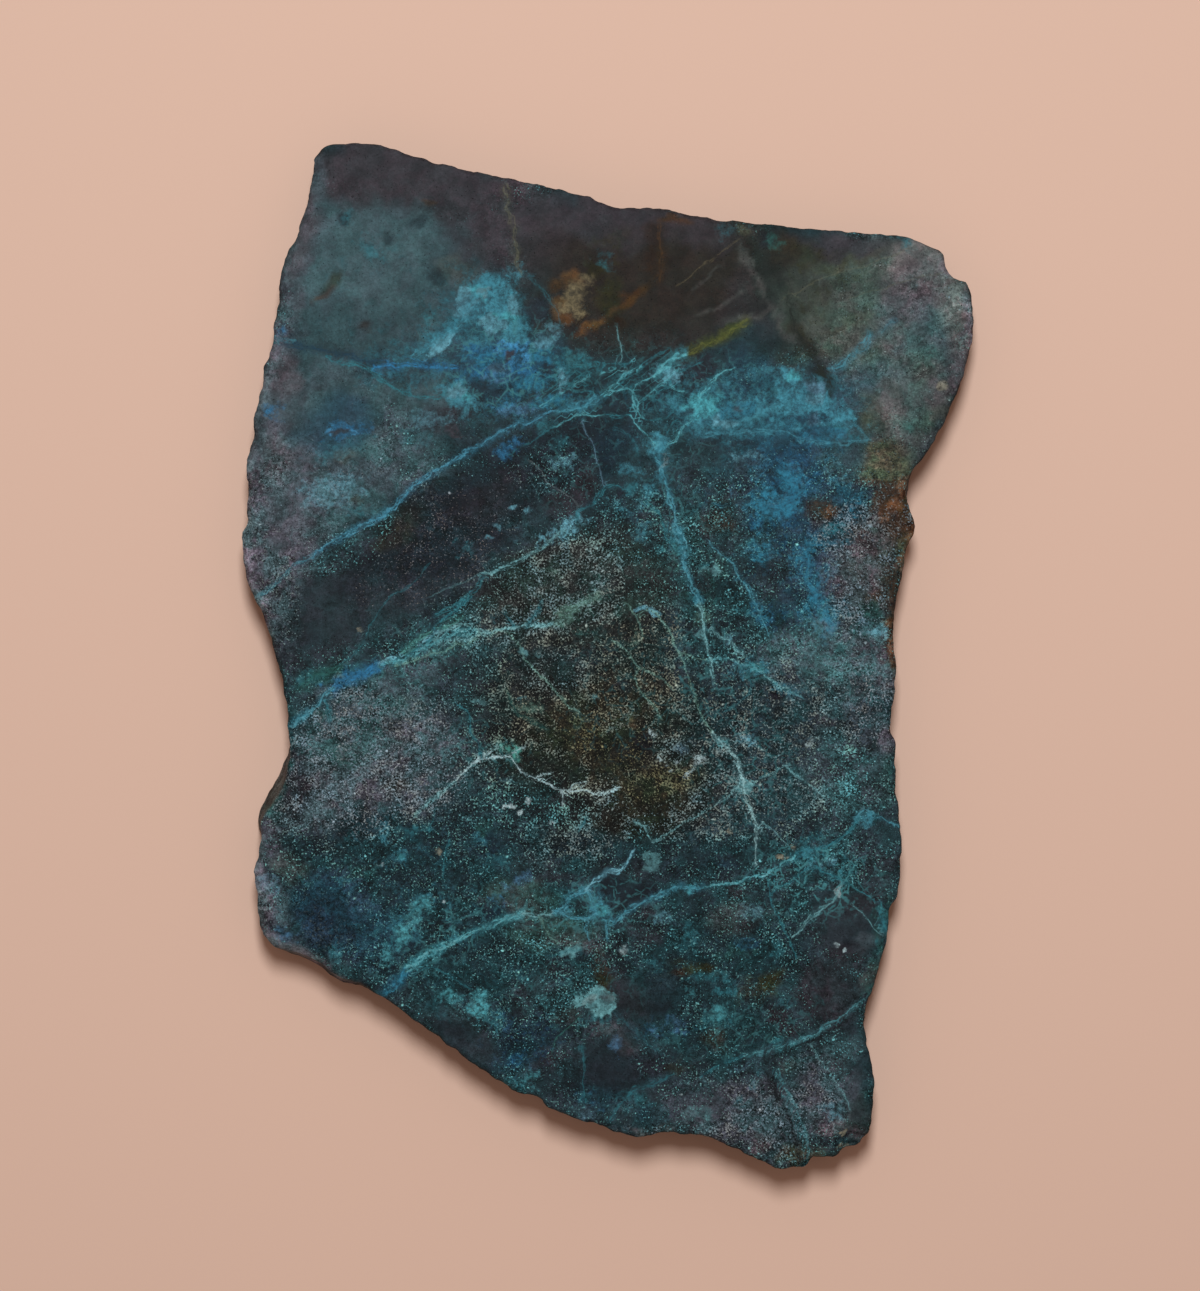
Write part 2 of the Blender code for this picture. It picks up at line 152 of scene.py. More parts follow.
# The rock between the veins: mineral, then soft patches of it (x, y, half width, half height, turn, strength).
# Later rows lie over earlier ones.
ZONES = [
    ("slate teal", [(0, 0, 70, 80, 0, 1)]),
    ("teal grey", [(-24, 38, 11, 9, -20, 1), (-22, 27, 12, 5, 10, .7), (-26, 18, 10, 5, 25, .8)]),
    ("slate teal", [(-25, 33, 8, 3, 0, .5), (-17, 38, 3, 4, 0, .4)]),
    ("charcoal", [(-22, 48.8, 10.5, 3.4, -8, 1), (-9, 43.5, 7, 5, -10, 1), (-14, 46, 5, 3, 0, .8)]),
    ("brown charcoal", [(4, 38.5, 12, 7.5, 5, 1), (13, 38, 6, 6, 0, .9), (-3, 34, 5, 4, 0, .7), (6, 31.5, 6, 2, 10, .7)]),
    ("charcoal", [(2, 43.5, 8, 2.5, -8, .6), (15, 36, 4, 3, 0, .4), (10, 42, 3, 2, 0, .5)]),
    ("green slate", [(17, 39.5, 3.5, 4.5, 0, .8), (21, 36, 4, 6, 20, .8), (20, 31, 3, 4, 30, .7)]),
    ("olive", [(21.5, 39.3, 3.5, 1.6, -5, .7), (-.5, 36.6, 1.6, 2.4, 0, .7), (.5, 42.3, 1.4, 1.5, 0, .6), (-1, 38.6, 1.2, .9, 0, .6),
               (20.5, 34.6, 2, 2.4, 20, .5), (33, 25, 1.3, 2.6, -20, .5), (23, 31, 1.3, 2.2, 30, .4)]),
    ("grey stone", [(24.5, 34, 6, 6, 20, .7), (28, 29, 6, 7, 20, .9), (27.5, 38.5, 3, 2.5, 0, .9), (31, 23, 3, 3, 0, .5)]),
    ("teal grey", [(31, 33.5, 5, 3.5, 0, .7), (26, 27.5, 4, 3, 0, .5), (29.5, 26, 3, 4, 0, .4)]),
    ("charcoal", [(-1, 44, 5, 1.8, -8, .8)]),
    # The mauves along the top right corner and the left flank are partly the rock's own colour and partly a painted
    # highlight where the rim catches the lamp.
    ("light mauve", [(34, 38, 3.6, 3.2, -30, .6), (35.6, 33.5, 1.5, 3.5, 0, .6)]),
    ("pale mauve", [(31.8, 38.2, 4.4, 2.6, -30, .6), (34.4, 35.5, 1.6, 3, 0, .5)]),
    ("grey mauve", [(31.5, 36.5, 4, 3, 0, .7), (35.4, 28.8, 1.2, 2.6, -20, .8), (33.3, 27, 1.5, 1.5, 0, .6), (25, 41, 3, 1, -5, .6)]),
    ("mauve", [(-33, 14, 4.5, 11, 5, .9), (-31.5, 20, 3, 6, 0, .6), (-34.5, 4, 2, 6, 15, .8), (-32.5, 30, 1.6, 8, -10, .6),
               (-31, 39, 1.7, 7, -20, .6), (-29.2, 48, 1.2, 3, 0, .7)]),
    ("pink mauve", [(-33.2, 27.5, 1.6, 2.6, 0, .7), (-33.2, 20, 1.4, 2.5, 0, .6), (-30.2, 43, .9, 3.4, -15, .6), (-31.4, 39.4, 1, 1.6, 0, .5)]),
    ("slate", [(-26, 6.5, 9, 4.5, 30, 1), (-18, 9, 7, 4.5, 38, .8), (-29, 2, 4, 3, 20, .7)]),
    ("dark slate", [(-15.5, 13.5, 9.5, 5, 36, .95), (-8, 19, 7, 3.2, 35, .9), (-22, 8.5, 5, 2.6, 30, .5), (-3, 20.5, 5, 3.5, 0, .8),
                    (-13.5, 4.5, 5, 2.4, 25, .6), (.5, 15, 3.5, 3, 0, .7)]),
    ("plum", [(-15.5, 23.4, 4, 1.6, 25, .7), (-12, 15.5, 4.5, 2.3, 35, .5), (-2, 18.2, 2.2, 1.7, 0, .7), (-4.5, 15, 2.2, 1.2, 0, .7),
              (8.5, 27.7, 1.9, 1.3, 40, .8), (9.3, 21, 1.2, .8, 0, .6)]),
    ("navy", [(-20, 29.3, 6, 2, 5, .5), (-12.5, 26.8, 4, 2.2, 10, .6), (1.5, 21.5, 3, 2.5, 0, .5)]),
    ("blue slate", [(-11, 29.2, 5, 2.6, 10, .8), (-26, 23.2, 4.4, 2.4, 10, .7), (16, 25.5, 11, 3.8, 5, .8), (20.5, 17, 6, 7, 0, .8),
                    (15, 19.5, 6, 4, 0, .5), (20.6, 7, 3.4, 7, -15, .5), (-13, 33.5, 3.5, 4.5, 0, .6)]),
    ("slate teal", [(6, 18, 5, 6, 0, .6), (12, 21, 4, 3, 0, .6), (25.5, 19.5, 4, 4, 0, .5), (14, 14, 3.5, 5, 0, .5)]),
    ("tan olive", [(28, 19.8, 3.2, 2.4, 0, .9), (26.5, 10.5, 2.5, 3.5, 0, .4)]),
    ("pink mauve", [(25, 9, 3, 4.5, 10, .55), (25.6, .6, 2, 1.6, 0, .5), (27, -9, 1.4, 3, 0, .4)]),
    ("brown", [(29.5, 14.5, 2.4, 3.6, 10, .8), (24.7, 12.4, 1.6, 1.4, 0, .7), (21.3, 14.4, 1.7, 1.4, 0, .7), (28.9, 6.5, 1.1, 5, 0, .6),
               (26.6, 8, 1.6, 3, 0, .5), (11.5, 13.6, 1.8, 1.6, 40, .5)]),
    ("green slate", [(-6, 8, 8.5, 3.6, 33, .9), (-2, 4, 7, 3, 10, .9), (3, 9, 4, 5, 20, .8)]),
    ("olive black", [(-1, -8.5, 13, 9, -10, 1), (-4.5, -10.6, 3, 1.6, 0, 1), (-6, 3, 6, 2.4, 10, .6), (3, 0, 4, 5, 0, .8), (6, -13.5, 7, 4.5, 15, .9),
                     (-8, -3, 4, 4, 0, .5), (1, -17, 8, 3.5, 0, .7)]),
    ("olive brown", [(-2.6, -7, 5, 3, -10, .55), (5.5, -12.2, 5, 3, 10, .6), (2, -4.5, 4, 3, 0, .4), (4, -16.5, 4, 1.5, 0, .4), (-1, -11, 4, 2, 0, .4)]),
    ("dark teal", [(11, 5, 3.5, 5, 0, .7), (13, -7, 3.5, 5, 0, .7), (17.5, 3.5, 3, 3, 0, .7), (18, -8, 5, 4, 0, .6)]),
    ("teal grey", [(22, .8, 6, 3.6, 0, .9), (25, -1.5, 3.6, 4.6, 0, .6), (-24, -7.5, 7, 4.5, 15, .8), (-22, -2.5, 8, 1.6, 20, .5)]),
    ("slate teal", [(22, -11, 6.5, 6, -10, .8), (16, -13, 4, 4, 0, .5), (27, -12.5, 2, 6, 0, .6), (25.5, -18.5, 3.5, 2.5, 0, .7)]),
    ("mauve", [(26.6, .7, 1.7, 1.4, 0, .8), (28, -2.2, .8, 1, 0, .7), (27.8, -8.5, .9, 1.6, 0, .8), (21.8, -6.5, .9, 1.1, 0, .5),
               (-27.5, -13.5, 5.5, 4.5, 10, .9), (-19.5, -9.5, 4, 4, 0, .5), (-34, -18, 1.6, 2.4, 0, .8), (-21, -15, 4, 2, 20, .4)]),
    ("dark plum", [(-31, -13, 1.8, 4, -5, .8), (12.7, -7.2, 1.1, .9, 0, .8), (13.4, -2, .7, .7, 0, .7), (17, -3.9, 1, .7, 0, .8),
                   (3.6, -8.5, 1.2, 1, 0, .6), (18.6, -18, .8, .6, 0, .7), (-14, -.8, 3, 1.2, 0, .4)]),
    ("green teal", [(-29, -2, 2.6, 1.2, 25, .6), (-32.6, -11, 1, 5, -8, .6), (28, -12.2, .9, 2.4, 0, .6), (26.3, 4.5, 1.5, 1, 0, .6)]),
    ("deep teal", [(-24.5, -19.2, 9, 3.6, 5, .9), (-17, -22.5, 7, 5, 10, .9), (-8, -21, 6, 4.5, 0, .7), (-9, -31, 9, 5, 10, .9),
                   (11, -28.5, 10, 5.5, 5, .9), (8, -36.5, 9, 3.6, 0, .9), (-18, -29, 7, 5, 20, .9), (-12, -16, 6, 3.5, 0, .5)]),
    ("blue slate", [(-26.5, -26.5, 6, 4, -20, .8)]),
    ("navy", [(-28.6, -26, 4.4, 2.6, -20, .7), (-23, -30, 4, 3, 30, .4), (-9, -38.6, 4.4, 2.6, 20, .8), (-11.5, -25.2, 1.8, 1.2, 0, .8),
              (-1.5, -44.5, 2.6, 1.6, 0, .5), (5, -45.8, 2.4, 1, 0, .7), (-12, -19, 1.6, 1.2, 0, .5)]),
    ("green grey", [(-31.5, -21, 2.2, 1.6, 0, .8), (-8.8, -24.2, 3.2, 1.6, 0, .7), (-5.6, -27.6, 3.4, 2.1, 0, .7), (13, -25.6, 3, 1.6, 10, .5)]),
    ("slate", [(-7.2, -21.4, 3.4, 1.1, -10, .8), (-7, -33.2, 3.4, 1.8, 15, .7), (-14.5, -38, 4, 1.6, -30, .8), (1, -39.5, 4.5, 3.6, 0, .7),
               (24, -26.6, 3.6, 3.4, 20, 1), (26.4, -22, 1.9, 2.6, 0, .7)]),
    ("dark slate", [(.3, -23, 2, 1.2, 0, .9), (3, -23.8, 2.4, .8, 20, .9), (7.5, -21.6, 3.4, .8, 10, .7), (1.5, -41.2, 4.6, 3, 10, .7),
                    (-4, -42.4, 2.6, 2.4, 0, .5), (8, -34, 3, 1.6, 0, .5)]),
    ("plum", [(2.4, -34, 2.6, 2.6, 0, .7), (3, -28, 2.4, 1.3, 0, .6), (4.2, -25.8, 1.2, .8, 0, .6), (22, -33.3, 3, 2.8, 0, .8),
              (17.3, -36, 1.2, 1, 0, .8), (18.2, -37.5, 1, .6, 0, .8), (13.8, -27.3, .9, 1, 0, .7), (25.6, -24.7, 1.8, 1, 20, .7),
              (24, -29.9, 2.4, 1.2, 10, .7), (-6, -40.2, 1.8, 1.1, 0, .7), (12.9, -23.4, .9, .6, 0, .8), (2.3, -21.2, 1.4, 1.2, 0, .6)]),
    ("pink mauve", [(1.6, -38.7, 1.6, .8, -20, .35), (-.3, -37.2, 1.4, .6, 0, .35), (-1.3, -29, 1.6, .7, 0, .6), (21, -45.5, 1.2, 1.4, 0, .3)]),
    ("mauve", [(14.5, -45.8, 6, 3.6, -15, .4), (22.5, -39.6, 3.4, 2.2, 20, .3), (8, -45.5, 3, 2, 0, .3), (19.8, -43.4, 2, 2.6, 20, .4),
               (-34.2, -25.3, 1.5, 2.3, 0, .9), (-31, -29.6, 3.4, .8, -30, .8), (23.5, -42.5, 2, 3, 0, .4), (26, -28.4, 1.3, .8, 0, .5)]),
    ("brown", [(7.3, -31.7, 1.2, .45, 0, .9), (-.5, -31.4, .8, 1.9, 0, .9), (10.7, -38.3, 1.6, 1.1, 0, .6), (-25.5, -33.2, 4.5, .5, -28, .7),
               (14.6, -33.8, 1, .8, 0, .5), (-4, -36.2, 1.4, .9, 0, .5)]),
    ("olive", [(9.3, -31.4, 1.5, .5, 0, .9), (16.3, -32.4, 1.6, .8, 28, .9), (-.2, -32.6, .7, .8, 0, .7), (6.7, -41.3, 1.2, .5, 0, .5),
               (18.5, -50, 1.5, 1, 0, .5), (-21, -12.7, 1.4, .9, 0, .5), (-20.5, 12.5, 3, 2.2, 30, .35)]),
    ("green grey", [(20.5, -49.6, 2.2, .8, 0, .7), (25, -45.8, 1.8, 2, 0, .6), (17.8, -41, 1.2, .8, 0, .5), (26.5, -32, .8, 1.6, -25, .8)]),
    ("grey mauve", [(22.8, -47.2, 1.8, .7, 0, .8), (25.3, -47.7, 1, .8, 0, .8), (3.3, -47.5, .8, .5, 0, .9), (5.4, -47.2, .9, .4, 0, .7),
                    (15.3, -48.7, 1, 1, 0, .8), (-20.5, -8, .8, .7, 0, .5)]),
    ("tan olive", [(18.5, -49.5, 1.2, .8, 0, .7), (13.8, 42.6, .8, .5, 0, .6), (26, 23.5, .6, 1.2, 10, .5)]),
    ("orange rust", [(-4.8, 35.2, .7, .9, 0, .9), (-4.3, 33.9, .8, .6, -30, .9), (-1.6, 32.9, 1.5, .55, 25, .9), (.6, 34.5, .9, .5, 40, .7),
                     (2, 35.5, 1.1, .4, 35, .6), (-3.6, 37.7, 1.1, .8, 0, .7)]),
    ("rust", [(2.6, 35.9, 1.8, .6, 33, .8), (-5.3, 37.2, .7, .7, 0, .7), (28.4, 14.8, 2, .9, 0, .8), (29.4, 16.2, .8, .6, 0, .7),
              (30.2, 12.8, .8, 1.4, 0, .7), (21.8, 14.2, .6, .5, 0, .8), (28.4, 1.4, .6, 3, 0, .7), (26.8, 6, .9, .7, 0, .5),
              (7.8, 43.5, 1, .5, 0, .6), (6.2, 43.8, 1.1, .5, 0, .7), (-17.7, 45.3, .9, .3, 0, .6), (-28.4, 36.2, 1.3, .35, 40, .6),
              (-27.9, 15.2, .6, .35, 0, .6), (-25.1, 15.6, .5, .35, 0, .6), (28.5, -.8, .6, .6, 0, .8)]),
    ("dark rust", [(1, 33.5, .9, .8, 0, .8), (5, 40.5, 1, 3, -5, .5), (7.8, 29.7, 1.2, .6, 10, .8), (-24, 33, .6, .6, 0, .6),
                   (4.4, 42.7, .8, .8, 0, .5), (-2.8, 33.7, .45, .45, 0, .8), (-.9, -20.8, 1.7, .6, 0, .6)]),
    ("olive", [(-27.4, 37.6, 1.4, .45, 38, .7), (11.4, 31.6, 2.6, .6, 22, .4)]),
    ("tan", [(-26.5, 20.2, 1.1, .7, 0, .4), (-16, 39.5, 2, 2, 0, .25), (2.5, -6.3, .5, .9, 0, .6), (13.2, -33.3, .5, .4, 0, .3)]),
    ("dark slate", [(2, 26.4, 7.5, 2.8, 18, .6), (-8.3, 33.5, .9, 1.6, 0, .8), (-6.2, 34.5, 1.1, 1.2, 0, .8), (-10, 26.7, 1.6, .6, 20, .8), (-6.2, 28.3, .8, 1.1, 0, .8),
                    (-26.5, 44, .6, .6, 0, .7), (-22.2, 41.5, .7, .7, 0, .7), (-18.8, 43.3, 1, .8, 0, .6), (-17.4, 38, .9, .8, 0, .6),
                    (1.3, 16, .9, .9, 0, .8), (2.3, 13.8, .7, 1, 0, .8), (17, 8.8, 1.8, 1.1, 0, .8), (11.8, -2, 1.5, 1, 0, .7),
                    (18.5, -1.9, 1.5, .5, 0, .6), (23, -3.8, 1.2, .9, 0, .7), (1.3, -2.9, 1.1, .8, 0, .6), (16, 41.5, .8, 1, 0, .6),
                    (-20.5, -27.2, 1, .8, 0, .5), (-15, -37.6, 2.6, .9, -20, .5), (25.4, -45.3, 1.2, 1.3, 0, .5), (24, -48, .7, .6, 0, .8),
                    (-29.5, 1.6, 1.4, 1.1, 20, .4), (16.5, 26.5, 1, .8, 0, .5), (4.5, 11.5, 1.6, 1, 0, .6), (21.3, 28.6, 1, .9, 0, .6)]),
    ("teal grey", [(24, 20.6, 3, 2.6, 0, .5), (23.5, -12, 4, 4, 0, .4)]),
    ("deep teal", [(0, -19.6, 5, 2.4, 0, .8), (8, -19.8, 5, 3, 0, .6), (15, -19, 5, 3, 0, .7), (0, -30, 4, 2.4, 0, .45), (-6, -38, 4, 2, 0, .3)]),
    # The pale rim band along the left flank, the lower left corner and the top right corner is partly the rim's own
    # lilac crust and partly a painted highlight where the bevel catches the lamp.
    ("rim mauve and painted highlight", [(-35.2, -23.6, 1.3, 3.6, 0, .95), (-35, -19.5, .9, 2, 0, .6), (-33.8, -28.2, 1.6, .9, -40, .9), (-31, -30.5, 3.6, 1, -22, .95),
                   (-26.6, -32.7, 3, .7, -27, .8), (-36.4, 12, .9, 6, 0, .9), (-35.9, 20, .8, 5, 0, .75), (-35.1, 4.6, .9, 3.4, 20, .8),
                   (-34, 28, .8, 5, -10, .5), (34.6, 38.8, 1.4, 1, -40, .5), (36.2, 34, .7, 2.6, 0, .6)]),
    ("pale lilac and painted highlight", [(-31.2, -30.3, 3.4, .8, -24, .8), (-26.8, -32.7, 2.6, .5, -27, .6), (-34.2, -28.6, 1, 1.2, -40, .7), (-35.2, -24.4, .7, 2.6, 0, .6), (-36.4, 11.6, .5, 4, 0, .4)]),
    ("grey wall", [(14.4, 38.8, 3.6, .36, -61, .6), (17.4, 33.4, 2.4, .4, -58, .4), (14.3, 34, 2.8, .35, 16, .6), (12, 35.5, 3.4, .25, 27, .5),
                   (9.6, 37.6, 2.4, .22, 40, .4)]),
    ("yellow olive", [(11, 31.9, 3, .5, 27, .8)]),
    ("charcoal", [(24, 40.6, 5.5, 1.5, -6, .6)]),
    ("brown", [(18.5, 39.6, 1.6, 2.6, 20, .5), (21.6, 36.2, 3.4, .7, 38, .4), (19.4, 32, 2.4, .6, -60, .6)]),
    ("tan olive", [(28.2, 19.8, 2.6, 2.2, 0, .85), (24.4, 39.4, 3.6, .5, 22, .4), (26.8, 24.4, 1.2, 2.4, 30, .4), (24.5, 33.6, 3.4, .5, 35, .35)]),
    ("light mauve", [(28.4, 25, 2, 2.4, 0, .45), (28.6, 31.8, 2.4, .7, 50, .35)]),
    ("tan olive", [(29.7, 10.8, 1.1, 2, 0, .9), (30.3, 17.6, .8, 1.2, 0, .6), (20.6, -49.9, 1.4, .8, 0, .5)]),
]

# Crusts of copper minerals with ragged edges: mineral, then (x, y, half width, half height, turn, strength).
CRUSTS = [
    ("cyan", [(-11.6, 35.4, 2.6, 2.8, -20, .75), (-9.2, 32.2, 1.2, 1.6, 0, .8), (-12.8, 31.2, 2, .8, 20, .4), (-16.5, 32, 1.8, .8, 45, .6),
              (-9.6, 38.3, 1.2, .6, 0, .6), (-14.5, 26, 1.9, 1.2, -30, .8), (5.2, 21.2, 1.2, .9, 0, .9), (1.9, 18.7, .6, .6, 0, .6),
              (10.5, 23.5, 1.8, 1, 0, .9), (18.5, 27.8, 1.3, 1, 0, .9), (20.6, 25.6, 2.4, 1.6, 0, .9), (14.6, 24.6, 2.4, 1.2, 0, .8),
              (18.2, 25.8, 1.6, 1.4, 0, .8), (12.4, 23.2, 2, .7, 0, .8), (7, 25.4, .8, .8, 0, .6), (-2.8, 25.4, 1, .7, 0, .6),
              (23.5, 24, 1.6, .9, -20, .85), (21.5, 22.9, 3.4, 1, 0, .85), (14, 23.2, 5, .7, 0, .5), (21.4, 4.3, .9, 2, -15, .7), (14.5, -1, 1.5, .9, 0, .8), (18.4, -3.5, 1.1, .5, -15, .7),
              (-22.4, -17.5, .5, 1.2, 0, .8), (-20.6, -19.9, .9, .6, 0, .8), (-18.5, -24.7, .7, .6, 0, .8), (-12.7, -18.3, .7, .6, 0, .6),
              (25.6, -16.3, .8, .8, 0, .8), (-1, -25.1, 1, 1.4, 0, .9), (-2.2, -23.3, .5, .45, 0, .9), (-3.9, -24.6, .5, 1, -20, .6),
              (8.2, -23.1, .9, .45, 0, .9), (19.3, -19.6, .9, .55, 20, .9), (-14.3, 24.5, .6, .6, 0, .5)]),
    ("cyan", [(4.2, 16.4, .7, 1.8, -25, .6), (2.4, 14, 1.6, .45, -35, .6), (3.6, 12.6, 1.1, 1, 0, .5), (3, 18.6, .5, .5, 0, .6), (2.2, 20.9, .6, .4, 0, .5)]),
    ("teal", [(-26, 44, .5, .5, 0, .5), (-23.5, 40.7, 1.4, .6, -35, .5), (-17.8, 33.8, .9, .9, 0, .6), (-7, 30.3, 1.3, 1.1, 0, .7),
              (-3.5, 29.5, 1.5, 1, 0, .6), (-.2, 39.8, .7, .9, 0, .5), (12, 42.5, .9, .6, 0, .4), (30, 41.3, .5, .4, 0, .6),
              (-27, 20.6, 2.8, 1, 20, .4), (-24.5, 14.3, 2, .7, 0, .5), (-14.3, 10.8, .6, .5, 0, .7), (-19, 22, 1.4, .8, 0, .4),
              (-6.5, 23, 1, .6, 0, .6), (-5, 21.2, .9, .6, 0, .5), (2.5, 16.5, .8, .6, 0, .6), (6.8, 10.6, 1.2, .6, 0, .7),
              (10, 8.7, .8, .4, 0, .8), (15, 11, 1.5, .7, 0, .7), (22.5, 12.7, 1.3, .8, 0, .6), (23, 22.4, 2, .7, -15, .7),
              (14.3, 4.6, 1, .5, 0, .7), (18.7, 4.3, .9, .5, 0, .6), (-30.2, -2.3, 1.6, .7, 25, .4),
              (-19.6, -17.5, 1.1, .3, 0, .6), (-27.3, -30, .6, .9, 0, .6),
              (-15.4, -26.4, .6, .5, 0, .7), (-15.6, -27.7, .5, .4, 0, .6), (-27.6, -22.2, 1.6, .3, 0, .6), (-23, -27.5, .4, .4, 0, .5),
              (-11.4, -36.4, 1.2, 1, 0, .5),
              (-8.3, -42.5, .7, .4, 0, .7), (-10.2, -42.7, .6, .4, 0, .5), (-2.5, -39.4, .4, .5, 0, .8), (-2.2, -44.2, .5, .7, 0, .5),
              (-4.8, -32.7, .8, .5, 0, .6), (-8.6, -31.9, 1.5, .7, 0, .4), (-11, -20.5, 1.1, .8, 0, .5), (12, -33.4, .9, .6, 0, .8),
              (10.2, -32.2, 1.2, .5, 0, .6), (11, -36, 1, .9, 0, .8), (8.2, -28, .9, 1.5, 0, .45), (17.9, -34.6, .7, .5, 0, .5), (17.2, -38.7, 1.2, .4, 0, .6),
              (2.7, -44.5, 1.4, .9, 0, .45), (13.3, -44.5, .6, .4, 0, .6), (14.3, -42.8, .5, .5, 0, .5), (15, -41.2, .7, .4, 0, .6),
              (27.8, -25.7, .4, 1, 0, .7), (27.8, -27.6, .4, 1, -10, .6), (23, -21.8, .6, .5, 0, .7), (22.3, 2.2, .8, .8, 0, .6),
              (16.8, -29.5, .6, .5, 0, .6), (4.7, -30.8, .6, .5, 0, .5), (12.5, -14.2, .5, .4, 0, .7), (-1.2, -36.2, 1.3, .5, 0, .6),
              (-17.2, -35, 1.3, .6, -30, .3), (-32.2, -9, .5, 2, 0, .4)]),
    ("green teal", [(16.5, 41.8, .8, .6, 0, .6), (32.3, 30.5, .9, .7, 0, .5), (30, 22.8, .7, .6, 0, .6), (-28, -6, .9, .7, 0, .6),
                    (-20, -5, 2, 1.2, 20, .3), (-26, -10, 2.5, 1.5, 0, .3), (27.2, -30.4, 1, .7, 30, .6), (-12.3, -17.2, .6, 1.2, 0, .5),
                    (26.2, -33.4, .7, .7, 0, .7), (13, -29.6, 1.6, .8, 0, .35), (-25, -21.5, 2.2, .6, 0, .35)]),
    ("bright cyan", [(-12.9, 36.2, 1, .8, 0, .9), (-11.4, 33.6, 1.1, .7, 0, .8), (-9.7, 33.9, .8, .6, 0, .7), (9.5, 25, 2, 1.1, 5, .9),
                     (9.2, 24, .6, .5, 0, .9), (18.9, 28, .7, .5, 0, .9), (-14.6, 26.2, .9, .6, -30, .9), (-.7, -25.4, .5, .8, 0, .9),
                     (21.4, 5, .6, 1.3, -15, .7), (14.7, -1, .9, .5, 0, .8),
                     (-12.6, -34.9, .9, .9, 0, .9), (-20.7, -19.9, .5, .4, 0, .8), (8, -23.1, .5, .4, 0, .8)]),
    ("pale cyan", [(-6.1, 31.6, 1.3, .7, 20, .42), (-5.6, 32.7, .5, .5, 0, .4), (-4.4, 12.6, 1.5, .55, 35, .95), (6, 28.5, .9, .6, 0, .8),
                   (-4.6, 28, .5, 1.1, 0, .8), (-4.6, 19.5, 1, .6, 0, .5), (12.3, 1.7, .6, .35, 0, .8), (27, 2.4, 1, .5, 0, .7),
                   (14, -8.3, .7, .4, 0, .6), (-27.4, 16.6, 3.2, 1.6, 10, .35), (13.5, 20, .6, .35, 0, .6),
                   (14.6, 20.1, .5, .3, 0, .5), (11.2, 23.6, .6, .5, 0, .7), (22.4, -45.4, .9, .7, 0, .5), 
                   (-18, 23.5, 1.8, .9, 0, .3), (21.7, -20.7, 1, .45, 0, .7), (5.4, -26.2, .9, .7, 0, .35), (14.5, -25.6, 1, .9, 0, .3),
                   (-10.3, -12.5, .5, .4, 0, .4)]),
    ("azurite", [(-9.7, 30.2, 1.3, .8, 0, .9), (-12.5, 28.6, 1.6, .6, 10, .7), (-8.5, 28.6, 1, .8, 0, .9), (-10, 21, 1.2, .7, 20, .7),
                 (-26.7, 22.5, 1.4, .8, 10, .8), (-24.3, 23.1, .5, .4, 0, .5), (-13.6, 30.8, 1, .5, 0, .5), (18.3, 17.2, .9, 1.2, 20, .8),
                 (17.6, 14.8, 1.3, .6, 0, .6), (15, 13.2, .7, .6, 0, .6), (-33.4, 24.5, .6, .4, 0, .8), (-25.3, -1.9, 2.2, .5, 20, .9),
                 (-10.8, -24.4, .5, .4, 0, .8), (-9.1, -40.2, .5, .5, 0, .7), (14, -28.8, .9, .5, 0, .5), (-33, 32.3, .9, .5, 0, .5)]),
    ("bright azurite", [(-9.9, 31, 1.5, .35, 5, .9), (-11.4, 30.2, .35, .7, 0, .8), (-8.3, 30, .45, .8, 0, .9), (-9.8, 29.3, 1.3, .3, 5, .8), (-9.2, 25.2, 1.4, .35, 12, .6), (-25.6, 22.6, .5, .35, 0, .8), (-27.7, 22.6, .4, .4, 0, .8),
                        (18.9, 16.3, .6, .7, 0, .9), (15.8, 3.6, .7, .5, 0, .5), (-25, -1.8, 1.2, .3, 20, .7)]),
    ("periwinkle", [(-11.3, 29.4, 1, .7, 0, .7), (-11, 27.9, 1.4, .4, 0, .7), (-8.3, 24.9, 2.6, .7, 15, .6), (7, -36.8, .8, .5, 0, .6),
                    (4.6, -37.4, .4, .5, 0, .6), (-8.8, -22.3, .7, .35, 20, .6), (-9.8, -23, .5, .4, 0, .6), (-32, -28.1, 1.2, .6, -20, .7),
                    (20.6, 8.8, .7, .9, 0, .4), (.8, -38.9, .5, .45, 0, .6), (12, -20.8, .8, .6, 0, .2)]),
    ("lavender", [(21, 27, .9, .7, 0, .7), (20.4, 23.7, .5, .4, 0, .6), (28.3, 16.9, .4, .35, 0, .7), (-34.3, -22.8, 1.2, 1, 0, .8),
                  (-2.2, -46.1, .7, .5, 0, .5), (7.7, -9.2, .4, .35, 0, .6), (8.3, -8.5, .4, .3, 0, .6), (25.8, 3, .6, .5, 0, .5),
                  (-10.9, 28.7, 1, .4, 0, .4), (22.2, 9, .9, 1.4, 0, .35), (14.2, -40.9, 1, .4, 20, .35)]),
    ("pale teal", [(-.7, -34.5, 1.55, 1.5, 0, 1), (-2.6, -34.2, .8, .55, 0, .95), (-8.5, -4.1, .5, .35, 0, .6), (-1.3, -4, .3, .3, 0, .6),
                   (-3.6, -29.5, 1.4, .45, 8, .8),
                   (4.4, -20.5, 1, .8, 0, .4), (9, -45.7, 1.5, .7, 0, .3), 
                   (-12.8, -4.6, .6, .4, 0, .4), (9.3, 2.2, .5, .5, 0, .5), (11.2, -8.5, 1, .5, -30, .8), (13.7, -13, .9, .6, 0, .7)]),
    ("bright teal", [(11.2, -35.7, .9, .7, 0, .7), (8.3, -33.6, .6, .5, 0, .5), (-20.5, -27.7, 1.2, .9, 30, .8), (-21.6, -29.9, .9, 1, 0, .6), (-18.5, -24.9, .8, .7, 0, .8), (-15.9, -34, 1.2, .8, 0, .7),
                     (-12.8, -34.9, 1.2, 1.4, 10, .9), (-7.7, -41.9, .5, .9, 0, .8), (-19.2, -26.3, .5, .9, -20, .6)]),
